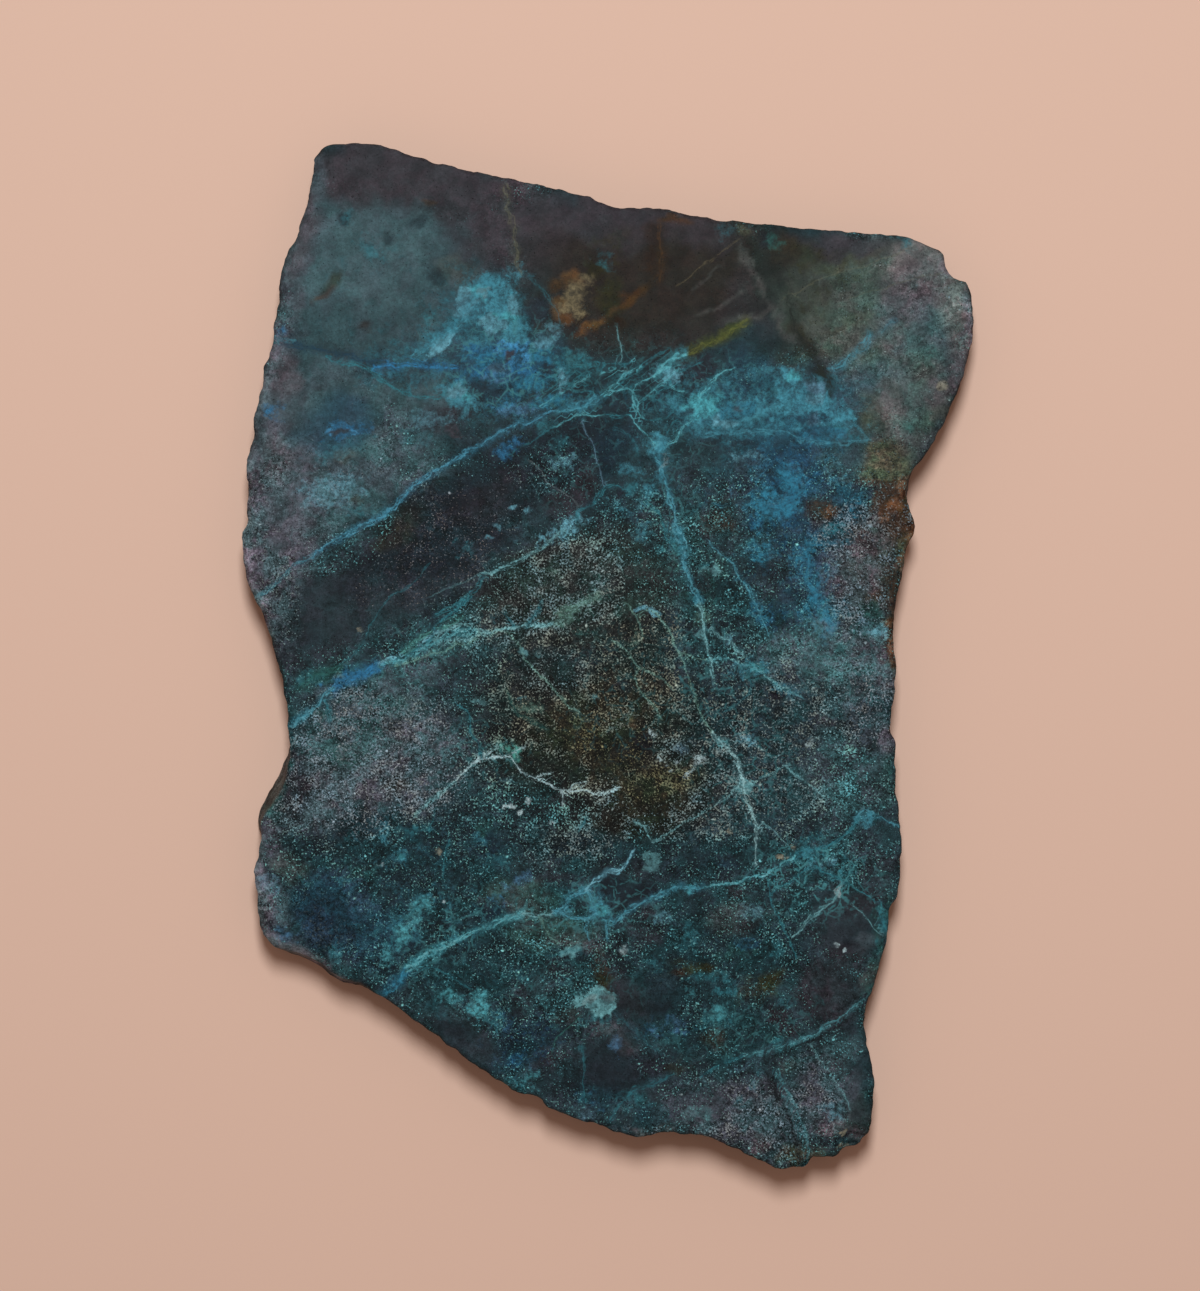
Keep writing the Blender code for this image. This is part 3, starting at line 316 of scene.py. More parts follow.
    ("pale teal", [(-8.4, .5, .4, .5, 0, .75), (-6.9, .4, .35, .3, 0, .35), (9.8, 8.2, 1.3, .45, 12, .5), (10.9, 8.6, .5, .35, 0, .6), ]),
    ("pale azure", [(-14.2, 35.4, 1.1, 1.5, -20, .4), (-16.8, 31, 1.9, .6, 48, .7), (-14.9, 26.4, .8, .7, 0, .5), (-11.5, 33.2, 1.2, .9, 10, .5),
                    (-9.4, 35.2, .7, 1.1, 0, .4), (12.3, 23.3, 1.2, .35, 0, .5), (20.8, 25.8, .8, .6, 0, .5)]),
    ("sea green", [(-9.7, -9.4, .55, .8, 20, .9), (-9.2, -10.3, .5, .4, 0, .7)]),
    ("pale azure", [(-9.5, 14.8, .3, .25, 0, .7), (-7.9, 14.6, .35, .25, 30, .7), (-11.9, 11.8, .5, .22, 0, .7), (-11.1, 12.9, .25, .2, 0, .6), (-9.3, 11.6, .22, .2, 0, .7),
                    (-6.8, 12.1, .3, .2, 0, .6), (-8.9, 13.2, .2, .2, 0, .6), (3.8, 4.8, .7, .35, 10, .7), (4.8, 4.3, .5, .3, -30, .7), (12.5, 1.6, .5, .3, 0, .7)]),
    ("pale green", [(9.2, 3.6, .6, .8, 0, .4), (-3.6, 4.4, 1.6, .8, 30, .5), (-1.8, 5.6, 1.2, .6, 20, .5), (-7.6, -4.9, 1, .7, 0, .35), (2.6, 1.9, .5, .8, 0, .4), (-5.4, 8.6, .8, .5, 0, .4)]),
    ("white teal", [(-1.6, -34.3, .8, .5, 0, .7),
                    (-12.4, 36.2, .5, .4, 0, .4), (.1, -34.1, .6, .5, 0, .4), (-26.5, -1.9, .5, .2, 20, .6)]),
    ("white", [(-9.9, -14.9, .5, .33, 0, .9), (-8.8, -15.2, .38, .35, 0, .9), (-7.7, -14.4, .3, .28, 0, .8), (-5.7, -16.7, .3, .25, 0, .7),
               (8.6, -11.2, .4, .3, 0, .7), (5.4, -10.1, .25, .2, 0, .8), (5.9, -10.8, .2, .2, 0, .8), (7.7, -12.1, .25, .2, 0, .8), (7.2, -10.6, .3, .2, 0, .7), (6.4, -11.6, .2, .16, 0, .8), (4.9, -9.5, .2, .16, 0, .7), (4.4, -7.6, .3, .25, 0, .7), (24, -29.4, .3, .28, 0, .9), (22.9, -29.1, .22, .2, 0, .8),
               (-16.5, -24.5, .22, .2, 0, .8), (-22.5, -21, .25, .2, 0, .8), (7.5, -44.1, .2, .18, 0, .9), (1.7, -29.3, .45, .4, 0, .5),
               (-8.4, 28.6, .2, .18, 0, .8), (20.3, -8.5, .55, .4, 0, .5),
               (5.7, 19.4, .3, .3, 0, .5), (23.2, -23.3, .4, .5, 0, .6), (9, -10.2, .9, .25, -30, .6)]),
    ("tan", [(-3.4, 36.3, 1.2, 1.3, 0, .8), (-3.3, 34.8, 1, .8, -30, .9), (-2.4, 37.6, .8, .8, 0, .6)]),
    ("cream", [(18.7, -18.9, .4, .3, 0, .9), (17.5, -19.9, .42, .36, 0, .85), (12.1, -17.35, .42, .38, 0, .9), (23.9, -47.7, .35, .3, 0, .9),
               (23.5, -49, .5, .3, 0, .8), (33.5, 27, .7, .5, 0, .5), (-24.6, 2.7, .2, .2, 0, .5), (-17, -19.5, .35, .3, 0, .5)]),
    ("azure", [(-7.6, 27.2, 2.4, .8, 12, .7), (-6, 25.4, 2, .6, 12, .6), (-12.6, 29.6, 2.2, .8, 10, .6), (-6.6, 30, .8, .8, 0, .6), (16.6, 15.4, 2.6, 1.5, -10, .8), (18.3, 17.2, 1.3, 2, 0, .8), (15.4, 10.6, 1.8, 1.2, 0, .55), (20, 10.4, 1, 2.6, -20, .5),
               (21, 6.4, .9, 3, -15, .6), (22.3, 3, .8, 1.8, -15, .5), (14.8, 5, .9, .8, 0, .6), (15.5, 3.7, .8, .6, 0, .6),
               (13, 24.6, 2, 1, 10, .4), (21.5, 22, 2.4, 1, 0, .5)]),
    ("dark rust", [(28.2, 15.4, 1.9, 2.2, 0, .85), (29.2, 12.6, 1, 2, 0, .8), (21.2, 14.9, 1.2, 1, 0, .7), (28.4, 6.4, .7, 2.6, 0, .7),
                   (28.5, .6, .6, 2.6, 0, .9), (12, 13.4, 1.2, 1, 30, .4), (25, 8.6, 1.2, 1, 0, .3)]),
    ("bright rust", [(21.9, 14.3, .75, .55, 0, .7), (28.4, 3.4, .35, .8, 0, .6), (28.6, 1.2, .35, 1, 0, .7), (28.6, -.8, .4, .5, 0, .6), (29.6, 8.8, .5, .9, -15, .6), (30.2, 12.4, .5, .9, 0, .6),
                     (28.8, 15.2, 1, .7, 0, .5), (27.6, 14.2, .6, .4, 0, .5), (29.6, 17, .5, .8, 0, .6)]),
    ("dark plum", [(9.9, 29.1, 1.7, .9, 35, .8), (9.4, 7.6, 1.4, 1.1, 0, .6), (25.8, .8, 1.4, 1.4, 0, .5), (17, 8.6, 1.6, 1.2, 0, .6)]),
    ("olive black", [(21.6, 27.6, 2.4, .55, -63, .9)]),
    ("dark slate", [(-12.9, 26.9, 1, .6, 10, .8), (-14.7, 29, .9, .5, 0, .7), (-6.1, 28.6, .5, .4, 0, .9), (-7.2, 34.7, 1, 1.2, 0, .8), (-8.7, 26.4, .7, .3, 15, .8),
                     (3.4, 19.4, .6, .5, 0, .9), (3.4, 24.7, .35, .25, 0, .8), (.7, 25.3, .8, .3, 0, .7), (-2.6, 25.7, .6, .3, 0, .7), (7.9, 24.6, .4, .3, 0, .7)]),
    ("plum", [(-9.7, 30.1, .75, .35, 5, .9), (-15.8, 22.6, 1.3, .7, 0, .8), (-26.8, 22.5, .7, .28, 10, .9), (11.5, 27.3, .35, .35, 0, .8), (12.9, 24.9, .6, .7, 0, .6)]),
]

SOLID_CRUSTS = ("white", "cream", "pale teal", "white teal", "pale azure")

# Veins: mineral, width, strength, and the line that the vein follows.
VEINS = [
    # across the top
    ("teal", .45, .8, [(-33.6, 31.6), (-31.6, 31.3), (-29.8, 30.7), (-28.3, 30), (-27.2, 29.4), (-25.5, 29.2), (-24.1, 28.9), (-23, 28),
                       (-21.5, 27), (-20.5, 26.4), (-19, 26), (-17.5, 25.8), (-16.5, 26.3)]),
    ("cyan", .6, .35, [(-33.8, 32), (-32.8, 31.8), (-31.5, 31.4)]),
    ("navy", .8, .75, [(-32.4, 31.3), (-30, 30.9), (-28, 30.4), (-26, 30.1), (-24.2, 29.6), (-22.8, 29.2)]),
    ("azurite", .7, .9, [(-23.2, 29), (-21.5, 29.05), (-20, 29.25), (-18.4, 29.1), (-17.6, 29), (-15.5, 28.9)]),
    ("cyan", 1.5, .6, [(-19.2, 30.2), (-17.8, 31.2), (-16.3, 32.2), (-15, 33.2), (-14.2, 34.2), (-13.5, 35.5), (-12.5, 36.8)]),
    ("tan olive", .9, .3, [(-10.2, 46.8), (-10.1, 45), (-9.6, 43.3), (-9.3, 41.5), (-9.1, 39.5), (-8.7, 38.6)]),
    ("teal", .4, .25, [(-8, 38.3), (-7, 37.2), (-6, 35.8), (-5.3, 34.8), (-5, 33.6)]),
    ("rust", .6, .22, [(5.2, 43.2), (5.3, 41), (5.4, 39), (5.2, 37.8)]),
    ("tan", .2, .28, [(7.3, 37.4), (9.3, 38.9), (10.5, 39.8), (11.5, 40.5), (13, 41.5)]),
    ("olive black", .9, .8, [(18.3, 35.5), (18.6, 33.5), (19.3, 32), (20.2, 30.7), (21.3, 29.3), (22.2, 27.4)]),
    ("tan olive", .18, .28, [(18, 35.7), (20, 37), (22, 38), (24, 38.6), (26, 39.2), (28, 40), (30, 40.8)]),
    ("tan olive", .18, .28, [(24.5, 36), (27, 36.6), (29, 37.3), (31, 38), (33.5, 38.3)]),
    ("cyan", 1.0, .6, [(22.5, 29), (23.8, 29.3), (25, 30.4), (25.8, 31.3), (26.2, 31.9)]),
    ("cyan", .7, .3, [(27.5, 32.6), (28.6, 33.3)]),
    # the net of threads where the veins cross at the top
    ("cyan", .8, .85, [(-5.3, 24.4), (-4, 24.6), (-3, 24.8), (-2.3, 24.95), (-1.6, 25.3), (-1.1, 25.7), (-.6, 26.1)]),
    ("bright teal", .5, .8, [(-.6, 26.1), (0, 26.8), (.7, 27.4), (1.6, 28.1), (2.3, 28.6), (3.1, 29)]),
    ("teal", .25, .6, [(3.1, 29), (4, 29.6), (5, 30.1), (5.8, 30.6)]),
    ("bright teal", .34, .9, [(-.9, 25.9), (0, 26.3), (1, 26.5), (2.1, 26.8), (2.9, 27.1), (3.6, 27.6), (4.4, 27.9), (5, 28.3)]),
    ("bright teal", .8, .9, [(5, 28.2), (5.6, 28.7), (6.3, 29.5), (7.1, 30.1), (7.8, 30.4)]),
    ("yellow olive", .9, .6, [(8.2, 30.5), (8.8, 30.9), (9.6, 31.4), (10.5, 31.6), (11.5, 31.9), (12.2, 32.3), (13, 33), (13.7, 33.4)]),
    ("bright teal", .3, .85, [(-5.2, 23), (-4.2, 23.6), (-3.2, 24), (-2, 24.15), (-1, 24.25), (-.4, 24.25)]),
    ("teal", .28, .8, [(-.4, 24.25), (.6, 24), (1.6, 24.15), (2.5, 24.2)]),
    ("bright teal", .3, .9, [(2.5, 24.1), (2.8, 23.6), (3.3, 22.9), (3.8, 22.3), (4.3, 21.9), (4.9, 21.2)]),
    ("bright teal", .5, .8, [(2.3, 26.7), (2.7, 26), (2.9, 25.3), (3.2, 24.7), (3.6, 24)]),
    ("teal", .2, .6, [(3.7, 23.8), (4.4, 23.7), (5.1, 23.8), (5.6, 23.8), (6.2, 24.3), (6.6, 24.9), (6.2, 25.3), (5.5, 25.5), (4.8, 25.7),
                           (4.5, 26)]),
    ("teal", .25, .7, [(4.8, 25.7), (4.1, 25.2), (3.9, 24.6)]),
    ("teal", .3, .85, [(3.3, 25.5), (4.3, 25.9), (5.2, 26.4), (5.8, 26.9), (6.2, 27.2), (6.1, 27.8)]),
    ("bright teal", .25, .8, [(6.2, 27.2), (6.8, 26.8), (7.3, 26.6)]),
    ("teal", .22, .5, [(6.9, 28.4), (7.6, 28.6), (8.3, 28.9), (9, 29.2)]),
    ("teal", .3, .7, [(-2.6, 29), (-1.3, 28.9), (-.4, 29.1), (.4, 29.3), (1.2, 29.2), (2, 28.9)]),
    ("teal", .25, .7, [(-4.3, 27.1), (-3.5, 27.5), (-3.1, 27.9), (-2.3, 28.1), (-1.2, 28.4), (-.3, 28.9), (.3, 29.2)]),
    ("teal", .25, .75, [(-3.9, 27), (-3.6, 26.6), (-3, 26.4), (-2.3, 26.5), (-1.6, 26.5), (-1.1, 26.2)]),
    ("teal", .22, .6, [(-3.1, 27.6), (-2.6, 27.4), (-2.1, 27.2), (-2, 26.7)]),
    ("teal", .25, .7, [(-2.2, 27.5), (-1.3, 28), (-.6, 28.4), (0, 28.8)]),
    ("teal", .22, .7, [(-5.6, 25.4), (-4.9, 25.9), (-4.2, 26.5), (-3.7, 27)]),
    ("bright teal", .2, .75, [(-6.4, 25.2), (-4.6, 26.3), (-2.6, 27.4), (-.8, 28.2), (1.2, 28.9), (2.4, 29.6)]),
    ("teal", .22, .75, [(-6.8, 27.6), (-5, 28.4), (-3, 29), (-1, 29.4), (1.2, 29.4), (3, 29.2)]),
    ("bright teal", .18, .65, [(3.4, 25.6), (4.6, 26.6), (6, 27.8), (7, 28.8)]),
    ("teal", .18, .6, [(-7.4, 26.2), (-6, 26.6), (-4.8, 27.5), (-3.6, 28.6), (-2.8, 29.6)]),
    ("teal", .25, .6, [(1.2, 27.1), (1.6, 27.6), (2.4, 28.1), (3.1, 28.6), (4, 29.3)]),
    ("pale teal", .24, .6, [(.9, 32.8), (1.2, 31.4), (1.5, 30.6), (1.5, 30), (1.4, 29.4), (1.8, 28.8), (2, 28.3)]),
    ("lavender", .16, .5, [(-2.7, 23.5), (-2.3, 22.7), (-1.8, 21.9), (-1.4, 21.4), (-1.2, 20.6), (-1.1, 19.9), (-.75, 19), (-.4, 17.8), (-.25, 16.8)]),
    ("teal", .5, .4, [(1, 22.7), (1.9, 22.2), (2.8, 21.2), (3, 20.5)]),
    ("bright teal", .25, .85, [(6.3, 21.3), (6.9, 21.6), (7.3, 22.3), (7.7, 23), (8.2, 23.3)]),
    ("teal", .22, .7, [(6.1, 22.6), (6.4, 23.2), (6.8, 23.4)]),
    ("bright teal", .28, .85, [(9.3, 26.1), (10.2, 27.2), (10.9, 27.9), (11.5, 28.4), (12.3, 28.7)]),
    ("teal", .22, .5, [(-9.5, 20.4), (-8.2, 21.2), (-7, 21.8), (-6, 22.5), (-5.2, 23)]),
    # the long vein from the left flank to the crossing at the top
    ("cyan", .5, .5, [(-34.6, 6.2), (-33.5, 7), (-32, 8.3), (-31, 9.2), (-29.5, 10)]),
    ("azure cyan", .55, .75, [(-29.5, 10), (-28.5, 10.8), (-27, 11.8), (-25.5, 12.7), (-24, 13.3),
                        (-23, 13.8), (-22, 14.6), (-21, 15.4), (-20.2, 16.2), (-19.5, 16.9), (-18, 17.9), (-16.5, 18.8), (-15.2, 19.7),
                        (-13.7, 20.5), (-12.3, 21.3), (-11.3, 21.8), (-10, 22.8), (-8.7, 23.4), (-7.5, 23.6), (-6.3, 24.2), (-5.3, 24.5)]),
    ("teal", .35, .8, [(1.5, 16.8), (.7, 17.1), (-.25, 16.8), (-.7, 16.3), (-1.3, 15.4), (-2.2, 14.9), (-3, 14.6), (-3.1, 13.9)]),
    ("pale grey", .16, .4, [(-7.5, 19.3), (-6.7, 18.7), (-6.2, 17.75), (-5.5, 17.1), (-4.3, 16.4), (-3.5, 15.9), (-3, 15)]),
    ("pale teal", .3, .75, [(-4.5, 12.4), (-5.8, 11.7), (-6.6, 10.8), (-7.5, 10.25), (-8.5, 9.75), (-9.5, 9.2), (-10.5, 8.9), (-11.5, 8.5),
                           (-12.7, 8.25)]),
    ("pale teal", .14, .25, [(-12.7, 8.25), (-14, 7.6), (-15.8, 6.9), (-17.4, 6.2)]),
    ("teal", .16, .45, [(-27.5, -1.5), (-25.5, .2), (-24.5, 1.2), (-24, 2.5), (-23.8, 3.2), (-23, 4.4), (-22, 5.6), (-21, 6.5), (-20, 7),
                       (-19, 7.9), (-18.1, 8.9)]),
    ("teal", .35, .7, [(-17, 4.2), (-15.8, 4.8), (-14.7, 5.5), (-13.7, 6.3), (-12.8, 7.3), (-12.3, 8.3)]),
    # the trunk that runs down the right of the middle
    ("cyan", .7, .95, [(5.3, 21), (5, 20.2), (5.5, 19.2), (5.7, 17.7), (6.2, 16.2), (6.7, 15), (6.9, 13.5), (7.2, 12), (7.6, 10.7), (7.8, 9.2),
                        (8.1, 7.8), (8.5, 6.7), (9, 5.8)]),
    ("pale teal", .36, .9, [(9, 5.8), (9.4, 4.5), (9.7, 2.8), (9.9, 1.2), (10.2, -.2), (10.4, -1.3), (10.5, -2.3)]),
    ("teal", .35, .8, [(4, 15.3), (4.9, 14.5), (5.5, 13.3), (5.8, 12.2), (6.8, 11)]),
    ("cyan", .3, .7, [(10.3, 11.3), (11.5, 10.1), (12.5, 9.3), (13, 8.2), (13.6, 7.3), (14.2, 6.3), (14.8, 5.2), (15.4, 3.8), (15.9, 2.5)]),
    ("cyan", .5, .5, [(10.2, 22.2), (12, 22.3), (15.5, 22.7), (19.7, 21.6), (23, 21.3), (26, 21.8)]),
    ("cyan", .6, .25, [(26, 21.8), (24.7, 23), (22.8, 24.2), (22.2, 25.8), (21, 27.8)]),
    ("azure", 1.0, .7, [(17.3, 18.3), (18.5, 17), (19, 16), (18.3, 15.1), (17, 14.8), (15.8, 14.6), (15.1, 13.3)]),
    ("azure", 1.2, .5, [(19.8, 9.8), (20, 8.5), (20.7, 6.5), (21.5, 5), (22.3, 3.5)]),
    # the braided vein across the middle of the left side
    ("cyan", .7, .85, [(-32.2, -7.3), (-31.3, -6.7), (-30.2, -5.8), (-29, -4.8), (-28.2, -3.8), (-27.3, -3)]),
    ("azurite", 1.2, .85, [(-27.3, -3), (-26.3, -2.3), (-24.8, -1.75), (-23.3, -1.2)]),
    ("pale azure", .2, .8, [(-23.3, -1), (-22, -.2), (-20.6, .3), (-19.6, 1.1), (-18.4, 1.4), (-17.2, 2.5), (-16, 3)]),
    ("pale green", .22, .7, [(-21.4, -.9), (-20.2, -.6), (-19, -.4), (-17.8, .3), (-16.4, .5), (-15.2, 1.2), (-14.2, 1.2), (-13, 1.9)]),
    ("sea green", .5, .5, [(-20.4, .6), (-18.6, 1.9), (-17.4, 2.6), (-16.2, 3), (-14.8, 3.8)]),
    ("bright teal", .42, .85, [(-23.3, -1.2), (-22, -.7), (-20.7, -.25), (-19.3, .2), (-18, .8), (-16.7, 1.7), (-15.3, 2.3), (-14, 2.75), (-13, 2.3)]),
    ("teal", .4, .9, [(-19.8, .1), (-18.8, .9), (-17.8, 1.6), (-17.2, 3.1), (-16.2, 4), (-15, 4.8), (-13.8, 5.75)]),
    ("pale teal", .22, .85, [(-18, .4), (-17.2, 1.7), (-16.3, 2.7), (-14.8, 3.25), (-13.8, 3.2), (-13.3, 2.7), (-12, 2.4)]),
    ("pale teal", .2, .8, [(-18, 1), (-16.5, 1.4), (-15.2, 1.7), (-14.3, 1.6), (-13, 2)]),
    ("pale teal", .36, .85, [(-13, 2.3), (-12, 2.25), (-11, 2.6), (-10, 2.85), (-9, 2.9), (-8, 3.1), (-6.7, 3.1), (-5.5, 3.25)]),
    ("pale green", .5, .35, [(-5.5, 3.25), (-4.3, 3.4), (-3.8, 4.3), (-3, 5), (-2, 5.5), (-1.2, 5.9)]),
    ("teal", .35, .7, [(-8, 3), (-7.5, 3.7), (-7, 4.5), (-6.75, 5.2)]),
    ("teal", .3, .7, [(-10.2, 4.2), (-9.7, 3.5), (-9.2, 3)]),
    ("pale green", .13, .6, [(-10, 2.5), (-9.4, 2), (-8.8, 1.3), (-8.5, .7), (-8.2, -.3), (-7.3, -1.25), (-6.3, -2.2), (-5.5, -3.1), (-4.7, -4),
                      (-4, -4.9), (-3.1, -5.5)]),
    ("teal", .8, .6, [(-28.2, -4.7), (-27.8, -6.3)]),
    ("green teal", .8, .6, [(-30.2, -2.7), (-29.2, -2), (-28, -1.5), (-27, -1.3)]),
    ("green teal", .6, .6, [(-32.3, -7.5), (-32.4, -9.5), (-33, -12), (-33.5, -14), (-33.8, -15.5)]),
    # the pale thread across the middle
    ("white", .16, .8, [(-12, -9.8), (-12.8, -10.1), (-13.7, -10.9), (-14.7, -11.9), (-15.2, -12.4)]),
    ("pale teal", .25, .7, [(-15.2, -12.4), (-16, -13.1), (-16.8, -13.75), (-17.75, -14.4), (-19, -15.6)]),
    ("teal", .3, .8, [(-12.7, -10), (-12.7, -9), (-13.3, -8.2), (-13.75, -7.7), (-13.7, -6.8), (-14, -5.7), (-14.8, -5)]),
    ("white", .16, .95, [(-12.6, -10.1), (-11.8, -10.2), (-11, -10.1), (-9.7, -10.1), (-9.2, -10.8), (-8.7, -11.5), (-7.7, -12.1), (-6.7, -12.5),
                         (-5.8, -12.8), (-5, -13.2), (-4.2, -13.3), (-3.3, -13.5), (-2.2, -13.4), (-1.2, -13.7), (0, -13.5), (.8, -13.3)]),
    ("white", .08, .6, [(-3.9, -13.3), (-3.2, -12.8), (-2.4, -12.6)]),
    ("white", .1, .7, [(-4.8, -13.3), (-4.4, -13.9), (-4.5, -14.6)]),
    ("white", .1, .6, [(-9.9, -10.2), (-9.4, -9.6), (-8.6, -9.3)]),
    ("white", .1, .7, [(-7.2, -12.4), (-6.6, -11.8), (-6.1, -11.7)]),
    ("teal", .25, .6, [(-17.3, -15.5), (-17.75, -17.2)]),
    ("teal", .25, .6, [(-2.3, -16.3), (-2.8, -17.2)]),
    ("green teal", .7, .4, [(-10, -3.7), (-9.2, -5.5), (-7.7, -6.3), (-6.3, -7.2)]),
    # threads in the dark middle and the lower trunk
    ("pale green", .13, .8, [(2, 5), (2.8, 4.2), (3.7, 4.6), (4.7, 4.5), (5.3, 3.8), (6.2, 2.4), (6.8, 1), (7.5, -.3), (8.1, -2), (8.6, -3.6),
                       (9.1, -5.2), (9.8, -6.5), (10.4, -7.6)]),
    ("pale green", .11, .5, [(2.8, 4.2), (3.2, 3), (3.4, 2.3)]),
    ("pale green", .11, .6, [(.8, 1.4), (1.7, .7), (2.3, -.2), (3.2, -1.1), (2.8, -2.5), (3.6, -3.6), (4.5, -4.7), (5.3, -6)]),
    ("pale green", .11, .5, [(3.2, -1.1), (3.8, -1.5), (4.8, -1.8), (5.6, -2.2), (6.3, -3)]),
    ("pale green", .13, .6, [(7.3, .3), (8.7, -.1), (10.2, -.3)]),
    ("white teal", .32, .9, [(10.5, -7.8), (11, -8.3), (12, -9.2), (12.7, -9.8)]),
    ("white teal", .3, 1, [(12.7, -9.8), (13, -10.8), (13.4, -12), (13.7, -13)]),
    ("white teal", .24, 1, [(13.7, -13), (13.75, -14.2), (14.25, -15.3), (14.75, -16.3), (14.9, -17.5), (14.8, -19), (14.8, -20.6)]),
    ("pale teal", .16, .6, [(12, -14.2), (12.8, -13.2), (13.7, -13), (14.7, -12.7), (15.5, -12.2), (16.7, -11.5), (17.8, -10.8)]),
    ("pale teal", .18, .6, [(17.8, -11), (18.7, -11.8), (20, -12.7), (21, -13.3), (21.8, -14.3)]),
    ("pale teal", .16, .6, [(15.8, -16.8), (17, -17.8), (17.8, -18.7)]),
    ("pale teal", .16, .5, [(5, -18.2), (6.7, -17.3), (7.5, -16.7), (8.8, -16), (10, -15.2), (11, -14.7), (12, -14.2)]),
    ("pale teal", .3, .6, [(3.2, -16.7), (3.8, -17.2), (4, -17.8), (4.5, -18.5), (5.2, -18.4)]),
    # the arm to the right of the trunk
    ("bright teal", .25, .5, [(10.3, -.3), (11.3, -.2), (12.3, -.3), (13.3, -.7), (14.3, -.8), (15.2, -1.3), (15.8, -2), (16.5, -2.6), (17.3, -3.1),
                       (18.3, -3.5), (19.2, -4)]),
    ("pale teal", .35, .8, [(10.5, 2.7), (11.3, 1.8), (12.2, 1.7), (12.7, 1), (13.5, .3)]),
    ("teal", .25, .6, [(14.2, -1), (14.3, -2), (14.4, -3.5), (13.2, -4.5), (12, -5.3)]),
    # the long vein across the bottom third
    ("azure", 1, .8, [(-22.7, -34), (-22, -33.5), (-21.2, -32.7), (-20.2, -31.5)]),
    ("bright teal", .9, .85, [(-20.2, -31.5), (-19, -30.5), (-17.8, -29.7), (-16.5, -29)]),
    ("bright teal", .6, .9, [(-16.5, -29), (-15.2, -28.4), (-13.8, -27.8), (-12.6, -27.3)]),
    ("bright teal", .8, .85, [(-12.6, -27.3), (-12, -27.1), (-11, -26.4), (-10, -26), (-9, -25.75)]),
    ("pale teal", .3, .85, [(-9, -25.75), (-8, -25.67), (-6.8, -26), (-5, -25.7)]),
    ("cyan", .5, .9, [(-5, -25.6), (-4, -26), (-3, -26.1), (-2, -26.2), (-1.2, -25.8), (-.3, -26.3), (1, -26.3)]),
    ("cyan", .55, .95, [(.8, -26.4), (1.7, -25.75), (2.5, -25.2), (3.5, -24.7), (4.7, -24.1), (5.7, -23.75), (6.8, -23.2)]),
    ("cyan", .65, .95, [(6.8, -23.2), (7.7, -23), (8.5, -23.2), (9.5, -23.05)]),
    ("bright cyan", .36, .95, [(9.5, -23.05), (10.7, -22.9), (12, -22.75), (13.2, -22.5), (14.3, -22.1), (15.3, -21.8), (16.2, -21.5),
                               (17, -21.1), (18, -20.6), (18.8, -20)]),
    ("teal", .45, .9, [(18.8, -20), (19.3, -19.6), (20.3, -19.3), (21.3, -19.1), (22.3, -18.65), (23.4, -18), (24.4, -17.2), (25.2, -16.2)]),
    ("cyan", .32, .9, [(25, -15.9), (25.7, -15.4), (26.6, -15.8), (27.6, -16.3), (28.4, -16.7), (29.3, -17)]),
    ("cyan", .5, .9, [(-5, -25.6), (-4.2, -25), (-3.75, -24.2), (-3, -23.8), (-2.3, -23.4)]),
    ("pale cyan", .25, .9, [(-2.3, -23.4), (-1.7, -22.8), (-.7, -22), (.3, -21.5), (1.3, -21.2), (1.8, -20.7), (2.5, -19.8)]),
    ("pale cyan", .45, .8, [(-.8, -22.1), (.3, -21.5), (.8, -21.4)]),
    ("cyan", .4, .9, [(-2.1, -23.5), (-1.7, -24.3), (-1.3, -25)]),
    ("cyan", .35, .85, [(-2, -26.3), (-2.05, -27), (-1.95, -27.8)]),
    ("cyan", .4, .85, [(-.15, -26.4), (0, -27.1), (0, -27.9)]),
    ("pale green", .15, .6, [(-6.8, -26.2), (-6, -27.4), (-5, -28.7)]),
    ("teal", .4, .5, [(-5.4, -29.9), (-4.4, -29.5), (-3, -29.3)]),
    ("teal", .3, .7, [(-15.75, -18.7), (-16.1, -20), (-16.3, -21.8)]),
    ("teal", .3, .5, [(-19.5, -32), (-17.5, -31), (-15.5, -32.2), (-14, -33)]),
    ("teal", .35, .5, [(-18.5, -24.6), (-20, -26), (-21.3, -27), (-21.5, -28.3)]),
    # the mesh of threads by the right flank
    ("teal", .42, .85, [(19.7, -19.7), (20.2, -20.5), (21, -21.2), (22.2, -21.75), (22.9, -22.2)]),
    ("teal", .2, .85, [(22.9, -22.2), (24, -22.8), (25.2, -23.5), (26.3, -24.2), (27.3, -24.9)]),
    ("teal", .5, .7, [(27.3, -24.9), (27.5, -26), (27.8, -27.1), (28.1, -28.3)]),
    ("pale teal", .14, .6, [(24.8, -25.1), (25.6, -25.8), (26.6, -27), (27.6, -27.9)]),
    ("teal", .28, .75, [(20.3, -21), (18.8, -22.1), (17.3, -23.2), (16.3, -23.8)]),
    ("teal", .25, .75, [(16, -22.2), (16.3, -23.7), (16.5, -25), (17, -25.7), (17.7, -27.2), (18.1, -28.3), (18.7, -29.7)]),
    ("teal", .22, .7, [(16.5, -22.1), (17.1, -23.2)]),
    ("pale teal", .4, .6, [(23.3, -23), (23, -23.8), (22.2, -24.5), (21.2, -25.2), (20.3, -25.9), (19.6, -26.9), (18.5, -28)]),
    # below the pale knot
    ("teal", .6, .25, [(.9, -35.6), (2, -36.7), (3, -37.7), (4, -38.5), (5, -39.5)]),
    ("green teal", .18, .8, [(-3, -36.2), (-4, -37.2), (-5.2, -38.5), (-5.4, -39.2)]),
    ("teal", .2, .5, [(-2.5, -39.4), (-2.2, -41), (-2.3, -42.6), (-2.2, -44.2)]),
